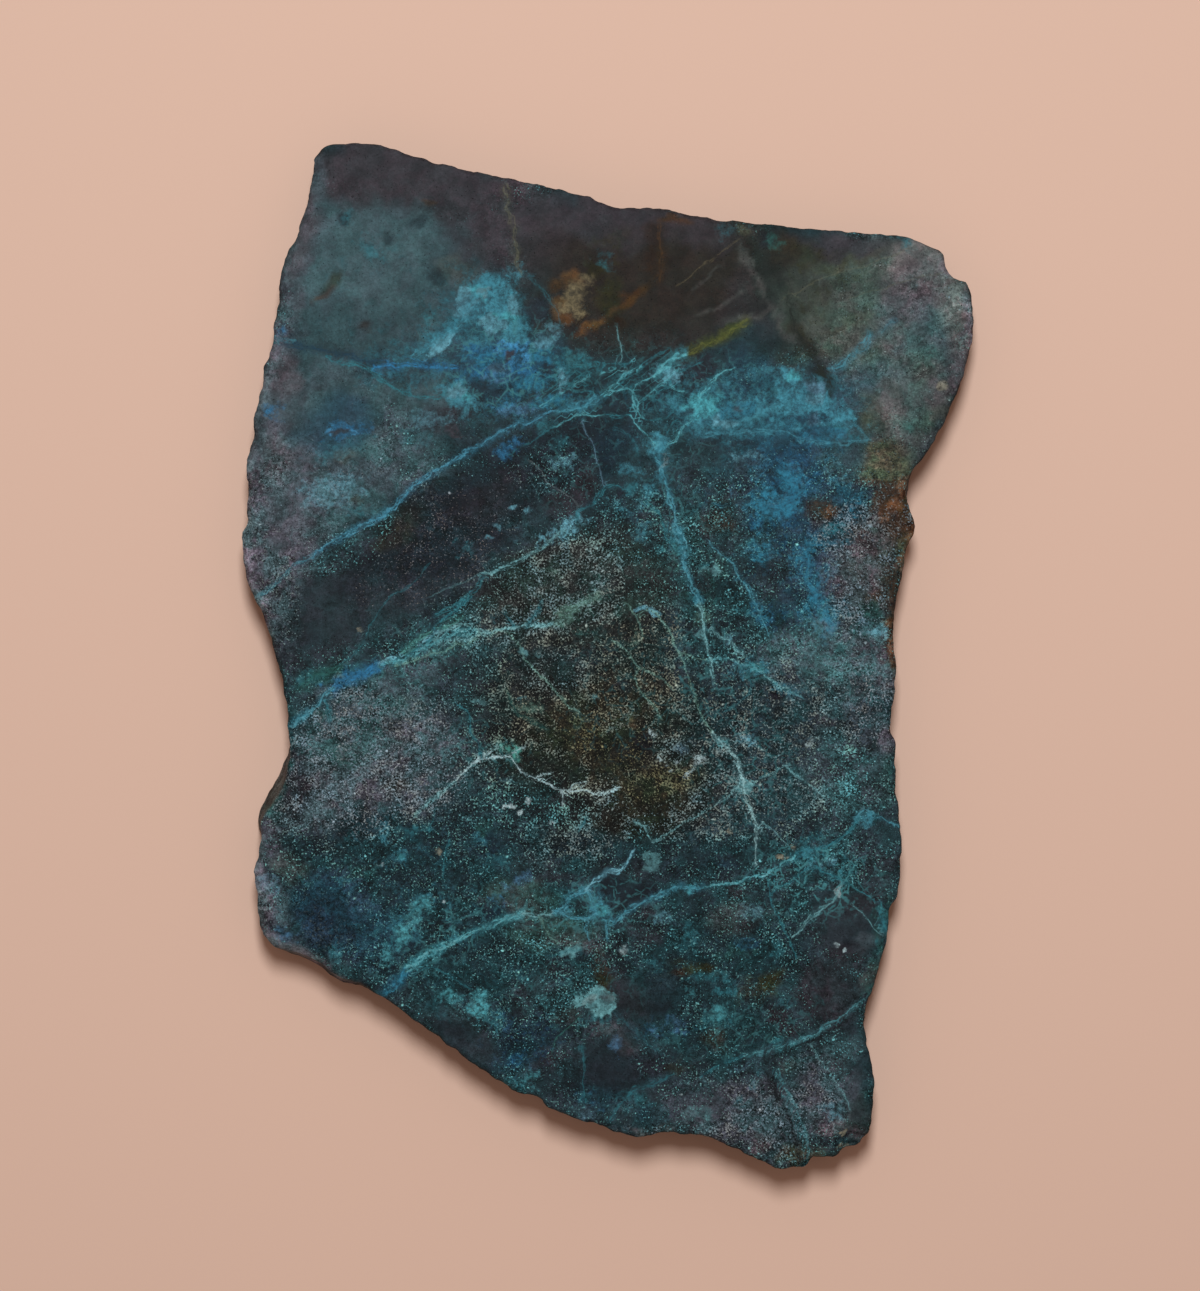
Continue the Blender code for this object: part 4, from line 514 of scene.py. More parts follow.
    # the cracked vein across the bottom right corner, with painted shadow and painted highlight along its open cracks
    ("teal", .5, .5, [(.3, -46), (1.5, -44.4), (2.8, -43.3), (4, -43), (5.2, -42.4), (6.3, -41.8)]),
    ("teal", .5, .6, [(9.6, -41.8), (10.6, -41.2), (12, -40.6), (13.5, -40)]),
    # Partly the vein's own teal and partly a painted highlight on the lit side of the open crack.
    ("bright teal", .3, .5, [(13.5, -40), (15, -39.6), (16.5, -39.2), (18.4, -38.8), (19.6, -38.3), (20.5, -37.8), (21.8, -37), (23, -36.3),
                       (24.2, -35.5)]),
    ("bright teal", .36, .45, [(24.2, -35.5), (25.2, -34.7), (26, -33.9), (26.7, -33)]),
    # Partly the vein's own teal and partly a painted highlight on the lit side of the open crack.
    ("bright teal", .28, .45, [(17, -41.6), (17.7, -42.9), (18.6, -44.6), (19.1, -46.1), (19.9, -47.8), (20.2, -50.2)]),
    ("pale teal", .16, .45, [(20.3, -38.8), (20.9, -39.9), (21.8, -40.9), (22.3, -41.9), (22.8, -42.9), (23.6, -43.9), (24.1, -44.9)]),
    # Painted shadow along one side of the open cracks.
    ("black", .5, .85, [(16.1, -41.7), (16.7, -43.1), (17.5, -44.8), (18.1, -46.3), (18.8, -48), (19.2, -50.2)]),
    ("black", .4, .6, [(14.2, -40.3), (16.5, -39.8), (18.6, -39.3), (20.3, -38.5), (22.1, -37.5), (23.8, -36.5), (25.2, -35.4)]),
]

# How granular the rock is: colour of the pale grains, then (x, y, half width, half height, turn, amount).
GRAINS = [
    ("pale teal", [(0, 0, 70, 80, 0, .4)]),
    ("slate", [(-20, 48.5, 10, 3.6, -8, .05), (4, 39, 13, 7, 0, .05), (-26, 6, 8, 4.2, 30, .12), (-4, 43, 9, 4, 0, .05)]),
    ("teal grey", [(-22, 38, 12, 10, -20, .05)]),
    ("grey lilac", [(-29, 23, 7, 9, 0, .1)]),
    ("pale grey", [(28, 31, 9, 11, 20, .26), (-33.5, 11, 3.6, 11, 5, .6), (-33, -13, 3, 6, 0, .75)]),
    ("slate", [(18.5, 37, 4, 6, 20, .06), (11.5, 32, 7, 3.4, 20, .08)]),
    ("grey mauve", [(-16, 12, 11, 6, 36, .36)]),
    ("pale teal", [ (-12, 30, 13, 9, 0, .08), (2, 26, 13, 6, 0, .08), (-10, 22, 6, 4, 30, .2),
                   (16, 24, 12, 6, 0, .14), (20, 9, 9, 11, 0, .45), (8, 10, 6, 8, 0, .5), (3, 19, 5, 3.4, 0, .15), (3.4, 14.6, 3.4, 3, 0, .6)]),
    ("grey lilac", [(-28, 16, 8, 5, 20, .32)]),
    ("pale grey", [(-5, 6, 9, 5, 25, .95)]),
    ("grey lilac", [(-25, -8, 9, 6, 15, .8), (-22, -13, 10, 5, 0, 1), (-27, -15, 6, 4, 0, .9)]),
    ("warm grey", [(0, -8, 14, 10, -8, .78), (-7, -3, 6, 5, 0, .85), (3, 1, 5, 5, 0, .7)]),
    ("pale grey", [ (8, -14, 9, 6, 10, .85), (17, -9, 9, 9, -10, .75), (1, -18, 9, 4, 0, .85)]),
    ("tan olive", [(-2.6, -7.2, 3.6, 2.4, -10, .65), (5.5, -12.4, 4, 2.4, 0, .75), (1, -9.5, 3, 2, 0, .5)]),
    ("pale grey", [(-6, 8, 4, 2, 30, .85), (-6, -2, 4, 3, 0, .75)]),
    ("pale teal", [(-18, -22, 10, 6, 10, .42), (-7, -31, 9, 5, 10, .5), (11, -28, 10, 5, 5, .42), (5, -21, 6, 2.4, 0, .5),
                   (14, -21.5, 6, 3.4, 0, .4), (24, -20, 4, 3, 0, .5), (-8, -15, 6, 3, 0, .6)]),
    ("slate", [(.3, -23, 2.2, 1.4, 0, .1), (3.2, -24, 2.2, 1, 20, .15), (24, -26.6, 3.4, 3, 20, .08), (1.5, -40.5, 4.5, 3.6, 0, .15),
               (4, -34.5, 4, 3, 0, .25), (-14.5, -38, 4, 1.6, -30, .15), (22, -34, 3, 3, 0, .3), (-28, -26, 4, 3, -20, .45)]),
    ("grey lilac", [(25.5, 7, 3.6, 7, 0, .8), (26.5, -5, 3, 6, 0, .6), (24, 12, 4, 3, 0, .75), (28.5, 13, 2, 5, 0, .7)]),
    ("pale teal", [(23.5, -12, 4, 4, 0, .75), (-24, 12, 5, 1.6, 35, .5)]),
    ("grey lilac", [(14, -46, 7, 4, -15, .75), (21, -43.5, 3, 5, 20, .6), (31, 38, 5, 4, 0, .25), (3.5, -47.5, 4, .7, 0, .7),
                     (-34.3, -24.6, 1.6, 3, 0, .7), (-20, -9, 4, 4, 0, .9)]),
    ("pale teal", [(6, -39, 4, 2.5, 0, .4), (15, -37, 5, 3, 0, .4), (9, -44.5, 3, 2, 0, .3)]),
    ("slate", [(24, 41.2, 8, 2.2, -6, .06), (28, 19.5, 2.6, 2, 0, .35)]),
    ("slate", [(25.5, -45, 1.4, 3, 0, .15), (26.4, -39, 1, 5, 0, .15)]),
]

# Stretches where saw marks show: turn of the marks in degrees, then (x, y, half width, half height, turn, amount).
SAW_MARKS = [
    (-38, [(-8, 8, 10, 5, 30, .5), (-5, -4, 9, 6, 0, .6), (6, -14, 8, 4, 0, .5), (19, -10, 8, 7, 0, .8), (24, -21, 5, 4, 0, .6),
           (15, -16, 6, 4, 0, .6)]),
    (32, [(-27, -14, 8, 6, 0, .8), (-26, -20, 7, 3, 0, .8), (-24, -6, 8, 4, 0, .5), (-32, 22, 4, 10, 0, .4), (12, -35, 9, 5, 0, .3),
          (33, 34, 5, 8, 0, .5), (14, -47, 8, 4, 0, .2)]),
]

# Stains of copper minerals that soak the rock in wisps: mineral, then (x, y, half width, half height, turn, amount).
STAINS = [
    ("teal", [(0, 0, 70, 80, 0, .14), (-14, 12, 15, 5.5, 36, 0), (-27, 6, 8, 4, 30, 0), (-20, 48.5, 11, 4, -8, 0), (4, 38.5, 13, 8, 0, 0)]),
    ("teal", [(-24, 36, 10, 9, 0, .4), (3, 27, 9, 4, 10, .55), (13, 15, 5, 6, 0, .5), (22, 0, 8, 5, 0, .25), (12, -2, 4.5, 5, 0, .3),
              (-15, -8, 6, 5, 0, .12), (-9, -15, 5, 3, 0, .4), (-13.5, 3, 5, 2.5, 0, .6), (12, -28, 11, 6, 5, .35), (22, -20.5, 5, 3, 0, .8),
              (-13, -34.8, 5, 3, -20, .6), (14, -43, 5, 4, 0, .08), (9, -45, 4, 2, 0, .1), (-26, 18, 8, 5, 20, .4), (26, 29, 7, 6, 0, .35)]),
    ("cyan", [(-12, 34, 5.5, 5.5, 0, .85), (-17, 29.5, 9, 3.5, 5, .75), (14.5, 25, 11, 4.5, 5, .9), (-20, -19, 9, 4, 5, .5), (-18, -27, 8, 6, 20, .55), (-23, -1.4, 8, 2.5, 22, .4),
              (-9, 24.4, 6, 1.8, 15, .6), (6.6, 15, 2, 8, 12, .6), (3.2, 16.5, 2.2, 4, -20, .45), (-3, -25, 5, 2.6, 0, .6), (-25, 12.6, 9, 1.8, 35, .4)]),
    ("sea green", [(22.5, 11.5, 2.6, 1.6, 0, .6), (26, 3.5, 2.4, 2, 0, .5), (24, -3.5, 4, 3, 0, .35), (9.6, 8.4, 2.4, 1.4, 0, .5), (19, -7, 5, 3, 0, .3)]),
    ("pale green", [(-2.8, 5.4, 3.6, 1.6, 30, .9), (-6.5, 4.6, 2, 1, 20, .5)]),
    ("azure", [(-8, 28, 5.5, 3, 20, .75), (-2, 25.6, 4, 1.6, 10, .5), (20, 15, 7, 9, 0, .75), (21.5, 6, 2.6, 7, -10, .6), (13, 12, 5, 7, 0, .6), (23, 21, 5, 2.4, 0, .6)]),
    ("azurite", [(-10.5, 29.4, 4.4, 2, 10, .8), (-26.5, 22.8, 2.6, 1.5, 10, .35), (18.5, 16.5, 3.4, 5, 0, .7), (-8.5, -38.6, 5, 3.4, 20, .5),
                 (6, -36.8, 4, 2.4, 0, .5), (-11.4, -25, 2, 1.4, 0, .6), (16.5, 3.4, 3, 2.6, 0, .6), (-30, -26, 4, 3, -20, .4), (-1.5, -44.6, 3, 2, 0, .5)]),
    ("green teal", [(8, 8, 4.5, 7, 15, .7), (0, 5.5, 7, 3, 20, .6), (-26, -8.5, 7, 4.5, 10, .6), (-6.5, -26.5, 6, 3.4, 0, .75), (-3, -9, 9, 7, 0, .14),
                    (13, -34, 5, 3, 0, .45), (16, -38.4, 5, 1.8, 10, .5), (27.6, -27, 1.2, 6, 0, .8), (27.5, -12, 2, 5, 0, .6), (7, -17, 7, 4, 0, .35),
                    (-31.5, -21, 2.4, 1.8, 0, .5), (25.6, -45, 1.6, 2.4, 0, .5)]),
    ("olive", [(-1, -8.5, 8, 6, 0, .35), (5, -13, 6, 3.5, 10, .35), (22, 38.6, 5, 3.4, -5, .6), (0, 38, 3, 6, 0, .6), (20.5, 33, 3, 5, 30, .6), (-21, 12.5, 3.4, 2.4, 20, .5), (9, -31.5, 3, .8, 0, .7),
               (15.6, -33, 3, 1.6, 25, .7), (7, -41.2, 2.4, 1, 0, .5), (28, 20, 3, 2.6, 0, .4), (19, -50, 2, 1, 0, .5), (11.5, 12, 2.5, 2, 0, .4)]),
    ("dark rust", [(4.8, 40, 2, 4.5, 0, .5), (28.6, 14, 2.4, 3.4, 0, .6), (28.5, 2, 1, 5, 0, .7), (-.4, -30.4, 1.6, 3, 0, .6), (21.5, 14.6, 2, 2, 0, .4),
                   (-3.5, 34.5, 2.6, 2.2, 0, .5)]),
]

# Where a fine net of cracks, filled with copper minerals, crosses the rock: (x, y, half width, half height, turn, amount).
CRACKLE = [
    (1, 27, 9, 4, 10, .22), (-10, 29, 7, 5, 0, .5), (-16, 30, 6, 3, 0, .2), (7.5, 22, 4.5, 5, 0, .2), (12, 27, 6, 3.4, 0, .25),
    (-3, 19, 5, 5, 0, .2), (7, 14, 3, 6, 15, .3), (10.5, -2, 5, 6, 0, .35), (14, -11, 5, 7, 0, .35), (-20, 0, 8, 3, 20, .3),
    (-3, -25, 8, 3, 5, .5), (-17, -28, 7, 4, 30, .4), (20.5, -22, 6, 4, 0, .8), (13, -37, 8, 3, 10, .3), (22, 0, 7, 4, 0, .2),
    (-13, -10, 5, 4, 0, .3), (2, -4, 7, 7, 0, .15), (-4, -33, 7, 5, 0, .2),
]


# ---- plane curves ------------------------------------------------------------------------------------------

def spline(points, steps, closed):
    """Centripetal Catmull-Rom curve: each point's knot is the square root of the chord before it."""
    p1 = np.array(points, dtype=float)
    if closed:
        p0, p2, p3 = np.roll(p1, 1, 0), np.roll(p1, -1, 0), np.roll(p1, -2, 0)
    else:
        ends = np.vstack([2 * p1[0] - p1[1], p1, 2 * p1[-1] - p1[-2]])
        p0, p1, p2, p3 = ends[:-3], ends[1:-2], ends[2:-1], ends[3:]
    knot = lambda a, b: np.sqrt(np.linalg.norm(b - a, axis=1))[:, None, None]
    t0 = np.zeros((len(p1), 1, 1))
    t1 = t0 + knot(p0, p1)
    t2 = t1 + knot(p1, p2)
    t3 = t2 + knot(p2, p3)
    t = t1 + (t2 - t1) * np.linspace(0.0, 1.0, steps, endpoint=False)[None, :, None]
    last = p2[-1:]
    p0, p1, p2, p3 = (p[:, None, :] for p in (p0, p1, p2, p3))
    a1 = ((t1 - t) * p0 + (t - t0) * p1) / (t1 - t0)
    a2 = ((t2 - t) * p1 + (t - t1) * p2) / (t2 - t1)
    a3 = ((t3 - t) * p2 + (t - t2) * p3) / (t3 - t2)
    b1 = ((t2 - t) * a1 + (t - t0) * a2) / (t2 - t0)
    b2 = ((t3 - t) * a2 + (t - t1) * a3) / (t3 - t1)
    curve = (((t2 - t) * b1 + (t - t1) * b2) / (t2 - t1)).reshape(-1, 2)
    return curve if closed else np.vstack([curve, last])


def rim_curve():
    """The rim as 2 (COLUMNS + ROWS) points, evenly spaced along each of the four sides of the slab."""
    curve = spline(OUTLINE, SPLINE_STEPS, True)
    starts = [int(np.argmin(np.linalg.norm(curve - corner, axis=1))) for corner in CORNERS]
    curve = np.roll(curve, -starts[0], 0)
    starts = [(s - starts[0]) % len(curve) for s in starts] + [len(curve)]
    curve = np.vstack([curve, curve[:1]])
    run = np.concatenate([[0.0], np.cumsum(np.linalg.norm(np.diff(curve, axis=0), axis=1))])
    stops = [np.linspace(run[a], run[b], count, endpoint=False)
             for a, b, count in zip(starts, starts[1:], (COLUMNS, ROWS, COLUMNS, ROWS))]
    at = np.concatenate(stops)
    rim = np.column_stack([np.interp(at, run, curve[:, k]) for k in (0, 1)])
    return rim - (rim.min(0) + rim.max(0)) / 2.0, at


def inward_normals(loop):
    """Unit normals that point into a clockwise loop: the tangent turned a quarter to the right."""
    tangent = np.roll(loop, -2, 0) - np.roll(loop, 2, 0)
    normal = np.column_stack([tangent[:, 1], -tangent[:, 0]])
    return normal / np.linalg.norm(normal, axis=1)[:, None]


def around(loop, stretches):
    """Sum of soft bumps, each highest at its place on the rim and gone at about twice its reach."""
    total = np.zeros(len(loop))
    for place, reach, amount in stretches:
        total += amount * np.exp(-(np.linalg.norm(loop - place, axis=1) / reach) ** 2)
    return total


# ---- fields over the stone ---------------------------------------------------------------------------------

def noise(points, size, seed, octaves=1):
    """Smooth noise from -1 to 1: random values on a square lattice, blended by 3t² - 2t³ between corners.

    size is the lattice spacing in millimetres. Each further octave has half the spacing and half the weight.
    """
    total = np.zeros(len(points))
    weight = 1.0
    for octave in range(octaves):
        table = np.random.default_rng(seed + octave).uniform(-1.0, 1.0, (256, 256))
        cell = points[:, :2] / (size * 0.5 ** octave) + 1000.0
        base = np.floor(cell).astype(int)
        t = cell - base
        t = t * t * (3.0 - 2.0 * t)
        i, j = base[:, 0] % 256, base[:, 1] % 256
        k, l = (i + 1) % 256, (j + 1) % 256
        low = table[i, j] * (1.0 - t[:, 0]) + table[k, j] * t[:, 0]
        high = table[i, l] * (1.0 - t[:, 0]) + table[k, l] * t[:, 0]
        total += weight * (low * (1.0 - t[:, 1]) + high * t[:, 1])
        weight *= 0.5
    return total


def warped(points, reach, size, seed):
    """Points moved by up to reach in each direction by two noise fields, so borders run unevenly."""
    return points + reach * np.column_stack([noise(points, size, seed, 2), noise(points, size, seed + 50, 2)])


def oval(points, x, y, half_width, half_height, turn):
    """Distance from the middle of an ellipse in units of its radius: 1 on the ellipse itself."""
    c, s = math.cos(math.radians(turn)), math.sin(math.radians(turn))
    dx, dy = points[:, 0] - x, points[:, 1] - y
    return np.hypot((dx * c + dy * s) / half_width, (dy * c - dx * s) / half_height)


def ramp(value, low, high):
    """0 below low and 1 above high, with a smooth step between; low may be the greater one."""
    t = np.clip((value - low) / (high - low), 0.0, 1.0)
    return t * t * (3.0 - 2.0 * t)


def linear(code):
    """Linear red, green and blue of an sRGB hex code."""
    value = np.array([int(code[k:k + 2], 16) for k in (0, 2, 4)]) / 255.0
    return np.where(value <= 0.04045, value / 12.92, ((value + 0.055) / 1.055) ** 2.4)


def rock_field(points):
    """Colour of the rock: the zones painted over each other, each fading out over the outer half of its oval."""
    colour = np.zeros((len(points), 3))
    small = warped(points, 0.45, 1.1, 11)
    wide = warped(small, 1.3, 4.5, 17)
    for mineral, ovals in ZONES:
        tone = linear(MINERALS[mineral])
        for x, y, half_width, half_height, turn, strength in ovals:
            place = small if min(half_width, half_height) < 1.5 else wide
            amount = ramp(oval(place, x, y, half_width, half_height, turn), 1.35, 0.55) * strength
            colour += (tone - colour) * amount[:, None]
    return colour


def grain_field(points):
    """Colour of the pale grains and how much of the rock they take up."""
    field = np.zeros((len(points), 4))
    place = warped(points, 1.2, 3.5, 23)
    for mineral, ovals in GRAINS:
        tone = linear(MINERALS[mineral])
        for x, y, half_width, half_height, turn, amount in ovals:
            cover = ramp(oval(place, x, y, half_width, half_height, turn), 1.3, 0.6)
            field += (np.append(tone, amount) - field) * cover[:, None]
    field[:, 3] = np.clip(field[:, 3] * (1.0 + 0.45 * noise(points, 2.2, 29, 2)), 0.0, 1.0)
    return field


def stain_field(points):
    """Colour of the stain in the rock and how much of it there is."""
    field = np.zeros((len(points), 4))
    place = warped(points, 1.0, 3.0, 27)
    for mineral, ovals in STAINS:
        tone = linear(MINERALS[mineral])
        for x, y, half_width, half_height, turn, amount in ovals:
            cover = ramp(oval(place, x, y, half_width, half_height, turn), 1.4, 0.5)
            field += (np.append(tone, amount) - field) * cover[:, None]
    return field


def crust_field(points):
    """Nearest crust: its colour and strength, the depth inside its border in millimetres, and how cloudy it is."""
    tint = np.tile(np.append(linear(MINERALS["teal"]), 0.0), (len(points), 1))
    depth = np.full(len(points), -3.0)
    cloudy = np.ones(len(points))
    place = warped(points, 0.35, 0.9, 31)
    for mineral, ovals in CRUSTS:
        tone = linear(MINERALS[mineral])
        for x, y, half_width, half_height, turn, strength in ovals:
            inside = (1.0 - oval(place, x, y, half_width, half_height, turn)) * min(half_width, half_height)
            over = (inside > 0.0) | (inside > depth)
            tint[over] = np.append(tone, strength)
            cloudy[over] = 0.0 if mineral in SOLID_CRUSTS else 1.0
            depth = np.maximum(depth, inside)
    return tint, np.column_stack([depth, cloudy, cloudy * 0.0])


def vein_field(points):
    """Nearest vein: distances to its line, signed and plain, its half width, and its colour and strength.

    The plain distance is to the nearest point of the line. The signed one is to the line of the nearest
    segment, positive on its left, so it crosses zero along the vein.
    """
    tint = np.tile(np.append(linear(MINERALS["teal"]), 0.0), (len(points), 1))
    lines = np.tile([3.0, 3.0, 0.0], (len(points), 1))
    best = np.full(len(points), 3.0)
    place = warped(points, 0.14, 1.3, 41)
    swell = 1.0 + 0.45 * noise(points, 1.4, 47, 2)
    for mineral, width, strength, line in VEINS:
        curve = spline(line, 3, False)
        near = np.all((place > curve.min(0) - 3.0) & (place < curve.max(0) + 3.0), axis=1).nonzero()[0]
        p = place[near]
        plain, signed = np.full(len(near), 9.0), np.full(len(near), 9.0)
        for a, b in zip(curve, curve[1:]):
            along = b - a
            length = np.linalg.norm(along)
            offset = p - a
            t = np.clip(offset @ along / length ** 2, 0.0, 1.0)
            distance = np.linalg.norm(offset - t[:, None] * along, axis=1)
            side = (along[0] * offset[:, 1] - along[1] * offset[:, 0]) / length
            closer = distance < plain
            plain = np.where(closer, distance, plain)
            signed = np.where(closer, side, signed)
        half = 0.5 * width * np.clip(swell[near], 0.45, 1.6)
        better = plain - half < best[near]
        chosen = near[better]
        best[chosen] = (plain - half)[better]
        lines[chosen] = np.column_stack([signed, plain, half])[better]
        tint[chosen] = np.append(linear(MINERALS[mineral]), strength)
    return tint, lines


def mark_field(points):
    """How strongly the saw marks show, for the two directions they run in, and how cracked the rock is."""
    field = np.full((len(points), 3), 0.12)
    field[:, 2] = 0.0
    for x, y, half_width, half_height, turn, amount in CRACKLE:
        cover = ramp(oval(points, x, y, half_width, half_height, turn), 1.5, 0.4) * amount
        field[:, 2] = np.maximum(field[:, 2], cover)
    for column, (turn, ovals) in enumerate(SAW_MARKS):
        for x, y, half_width, half_height, angle, amount in ovals:
            cover = ramp(oval(points, x, y, half_width, half_height, angle), 1.4, 0.5) * amount
            field[:, column] = np.maximum(field[:, column], cover)
    return field


# ---- the stone ---------------------------------------------------------------------------------------------

def relief(points):
    """Depth below the sawn plane: cracks as V grooves, pits as bowls, and a fine unevenness of the saw cut."""
    depth = 0.02 + 0.012 * noise(points, 0.7, 61, 2)
    place = warped(points, 0.15, 0.9, 67)
    for width, deepest, line in CRACKS:
        curve = spline(line, 4, False)
        distance = np.full(len(points), 9.0)
        for a, b in zip(curve, curve[1:]):
            along = b - a
            t = np.clip((place - a) @ along / (along @ along), 0.0, 1.0)
            distance = np.minimum(distance, np.linalg.norm(place - a - t[:, None] * along, axis=1))
        depth = np.maximum(depth, deepest * np.clip(1.0 - distance / (width + 0.15), 0.0, 1.0))
    for centre, radius, deepest in PITS:
        share = np.linalg.norm(place - centre, axis=1) / radius
        depth = np.maximum(depth, deepest * np.clip(1.0 - share ** 2, 0.0, 1.0))
    for centre, radius, deepest in FLAKES:
        share = np.linalg.norm(place - centre, axis=1) / radius
        depth = np.maximum(depth, deepest * np.clip(1.0 - share ** 2, 0.0, 1.0))
    return depth


def face_grid(border, columns, rows):
    """A disc over a closed border as a grid: each square ring of the grid is the border drawn in to the middle."""
    i, j = np.meshgrid(np.arange(columns + 1), np.arange(rows + 1))
    a, b = 2.0 * i / columns - 1.0, 1.0 - 2.0 * j / rows
    ring = np.maximum(np.abs(a), np.abs(b))
    safe = np.where(ring > 0.0, ring, 1.0)
    p, q = a / safe, b / safe
    near = 1.0 - 1e-9
    at = np.select(
        [q >= near, p >= near, q <= -near],
        [(p + 1.0) / 2.0 * columns, columns + (1.0 - q) / 2.0 * rows, columns + rows + (1.0 - p) / 2.0 * columns],
        2.0 * columns + rows + (q + 1.0) / 2.0 * rows,
    )
    closed = np.vstack([border, border[:1]])
    edge = [np.interp(at.ravel(), np.arange(len(closed)), closed[:, k]) for k in (0, 1)]
    return np.column_stack(edge) * ring.ravel()[:, None]


def grid_border(columns, rows):
    """Indices of a grid's border points, clockwise from its top left corner."""
    index = np.arange((columns + 1) * (rows + 1)).reshape(rows + 1, columns + 1)
    return np.concatenate([index[0, :-1], index[:-1, -1], index[-1, :0:-1], index[:0:-1, 0]])


def grid_faces(columns, rows):
    """Quads of a grid, turning anticlockwise as seen from above."""
    index = np.arange((columns + 1) * (rows + 1)).reshape(rows + 1, columns + 1)
    return np.stack([index[1:, :-1], index[1:, 1:], index[:-1, 1:], index[:-1, :-1]], -1).reshape(-1, 4)


# Rings of the wall from the foot up: share of the height, inset, and how uneven the ring is.
WALL_RINGS = [
    (0.0, 0.40, 0.25), (0.05, 0.14, 0.3), (0.14, 0.03, 0.45), (0.26, 0.0, 0.7), (0.38, 0.0, 0.85), (0.50, 0.03, 0.9),
    (0.62, 0.03, 0.8), (0.74, 0.02, 0.65), (0.85, 0.0, 0.45), (0.94, 0.0, 0.2),
]
BEVEL_RINGS = (0.4, 0.75)


def slab_surface():
    """Points of the stone: rings from the foot of the wall to the bevel, then the sawn face and the underside.

    A point of the wall is the rim moved inwards by the lean, the ring's inset and a rough, broken profile that
    is noise over the distance round the rim and the height.
    """
    rim, run = rim_curve()
    inward = inward_normals(rim)
    ragged = CLEARANCE + 0.11 * (1.0 + noise(np.column_stack([run, run * 0.0]), 1.0, 71, 3).clip(-1, 1))
    rim = rim + inward * ragged[:, None]
    lean = around(rim, LEANS)
    worn = 0.5 + 0.5 * noise(np.column_stack([run, run * 0.0 + 9.0]), 1.6, 73, 3).clip(-1, 1)
    bevel = BEVEL_WIDTH + 0.3 * worn + around(rim, BEVELS)
    shoulder = THICKNESS - BEVEL_DROP - BEVEL_SLOPE * bevel

    rings = []
    upright = 1.0 - np.clip(lean / 0.5, 0.0, 1.0)
    for share, inset, uneven in WALL_RINGS:
        broken = 0.5 + 0.5 * noise(np.column_stack([run, run * 0.0 + share * THICKNESS]), 2.6, 79, 4).clip(-1, 1)
        leaning = lean * np.clip((share - 0.05) / 0.95, 0.0, 1.0)
        ring = rim + inward * (inset + leaning + uneven * broken * (0.25 + 0.75 * upright))[:, None]
        rings.append(np.column_stack([ring, share * shoulder]))
    for share in (0.0,) + BEVEL_RINGS + (1.0,):
        ring = rim + inward * (lean + bevel * share)[:, None]
        rise = shoulder + (THICKNESS - shoulder) * math.sin(share * math.pi / 2.0)
        rise -= relief(ring) + 0.05 * worn * (1.0 - share)
        rings.append(np.column_stack([ring, rise]))

    border = rings.pop()[:, :2]
    face = face_grid(border, COLUMNS, ROWS)
    face = np.column_stack([face, THICKNESS - relief(face)])
    foot = (rim + inward * 1.1)[::2]
    under = face_grid(foot, COLUMNS // 2, ROWS // 2)
    under = np.column_stack([under, np.zeros(len(under))])
    return rings, face, under, run


def slab_faces(ring_count, around_count):
    """Faces of the stone: the wall rings, the sawn face and the underside, the seam of triangles between the foot of
    the wall and the underside, and the counts of wall and top faces.
    """
    loops = [np.arange(around_count) + k * around_count for k in range(ring_count)]
    face_start = ring_count * around_count
    under_start = face_start + (COLUMNS + 1) * (ROWS + 1)
    loops.append(grid_border(COLUMNS, ROWS) + face_start)
    walls = []
    for lower, upper in zip(loops, loops[1:]):
        walls.append(np.stack([np.roll(lower, -1), lower, upper, np.roll(upper, -1)], -1))
    top = grid_faces(COLUMNS, ROWS) + face_start
    bottom = grid_faces(COLUMNS // 2, ROWS // 2)[:, ::-1] + under_start
    fine, coarse = loops[0], grid_border(COLUMNS // 2, ROWS // 2) + under_start
    first, second, third = fine[::2], fine[1::2], np.roll(fine, -2)[::2]
    after = np.roll(coarse, -1)
    seam = np.concatenate([
        np.stack([first, second, coarse], -1),
        np.stack([second, after, coarse], -1),
        np.stack([second, third, after], -1),
    ])
    return np.concatenate(walls + [top, bottom]), seam, len(walls) * around_count, len(top)


def flat_layout(faces, seam, wall_faces, top_faces, rings, face, under, run):
    """Each face corner's place in a flat layout: the wall as two long strips, then the two broad faces side by side.

    The strips run along the rim, with the ring's height as their width. Everything is then scaled into a unit square.
    """
    count = len(run)
    half = count // 2
    length = run[-1] + (run[-1] - run[-2])
    stop = np.append(run, length)
    heights = [share * THICKNESS for share, _, _ in WALL_RINGS] + [6.0, 6.4, 6.8, 7.2]
    strips = []
    for k in range(len(rings)):
        a = np.arange(count)
        row = (a >= half).astype(float)
        left, right = stop[a] - row * stop[half], stop[a + 1] - row * stop[half]
        low, high = heights[k] + row * 9.0, heights[k + 1] + row * 9.0
        strips.append(np.stack([np.column_stack([right, low]), np.column_stack([left, low]),
                                np.column_stack([left, high]), np.column_stack([right, high])], 1))
    start = len(rings) * count
    plan = np.vstack([np.zeros((start, 2)), face[:, :2] + (38.0, 72.0), under[:, :2] + (115.0, 72.0)])
    ring_foot = rings[0][:, :2] + (115.0, 72.0)
    plan[:count] = ring_foot
    flat = np.concatenate([np.concatenate(strips).reshape(-1, 2), plan[faces[wall_faces:].ravel()], plan[seam.ravel()]])
    return flat / 160.0


def add_attribute(mesh, name, kind, key, values):
    """Store one value for each point of the mesh."""
    layer = mesh.attributes.new(name, kind, "POINT")
    layer.data.foreach_set(key, np.ascontiguousarray(values, dtype=np.float32).ravel())


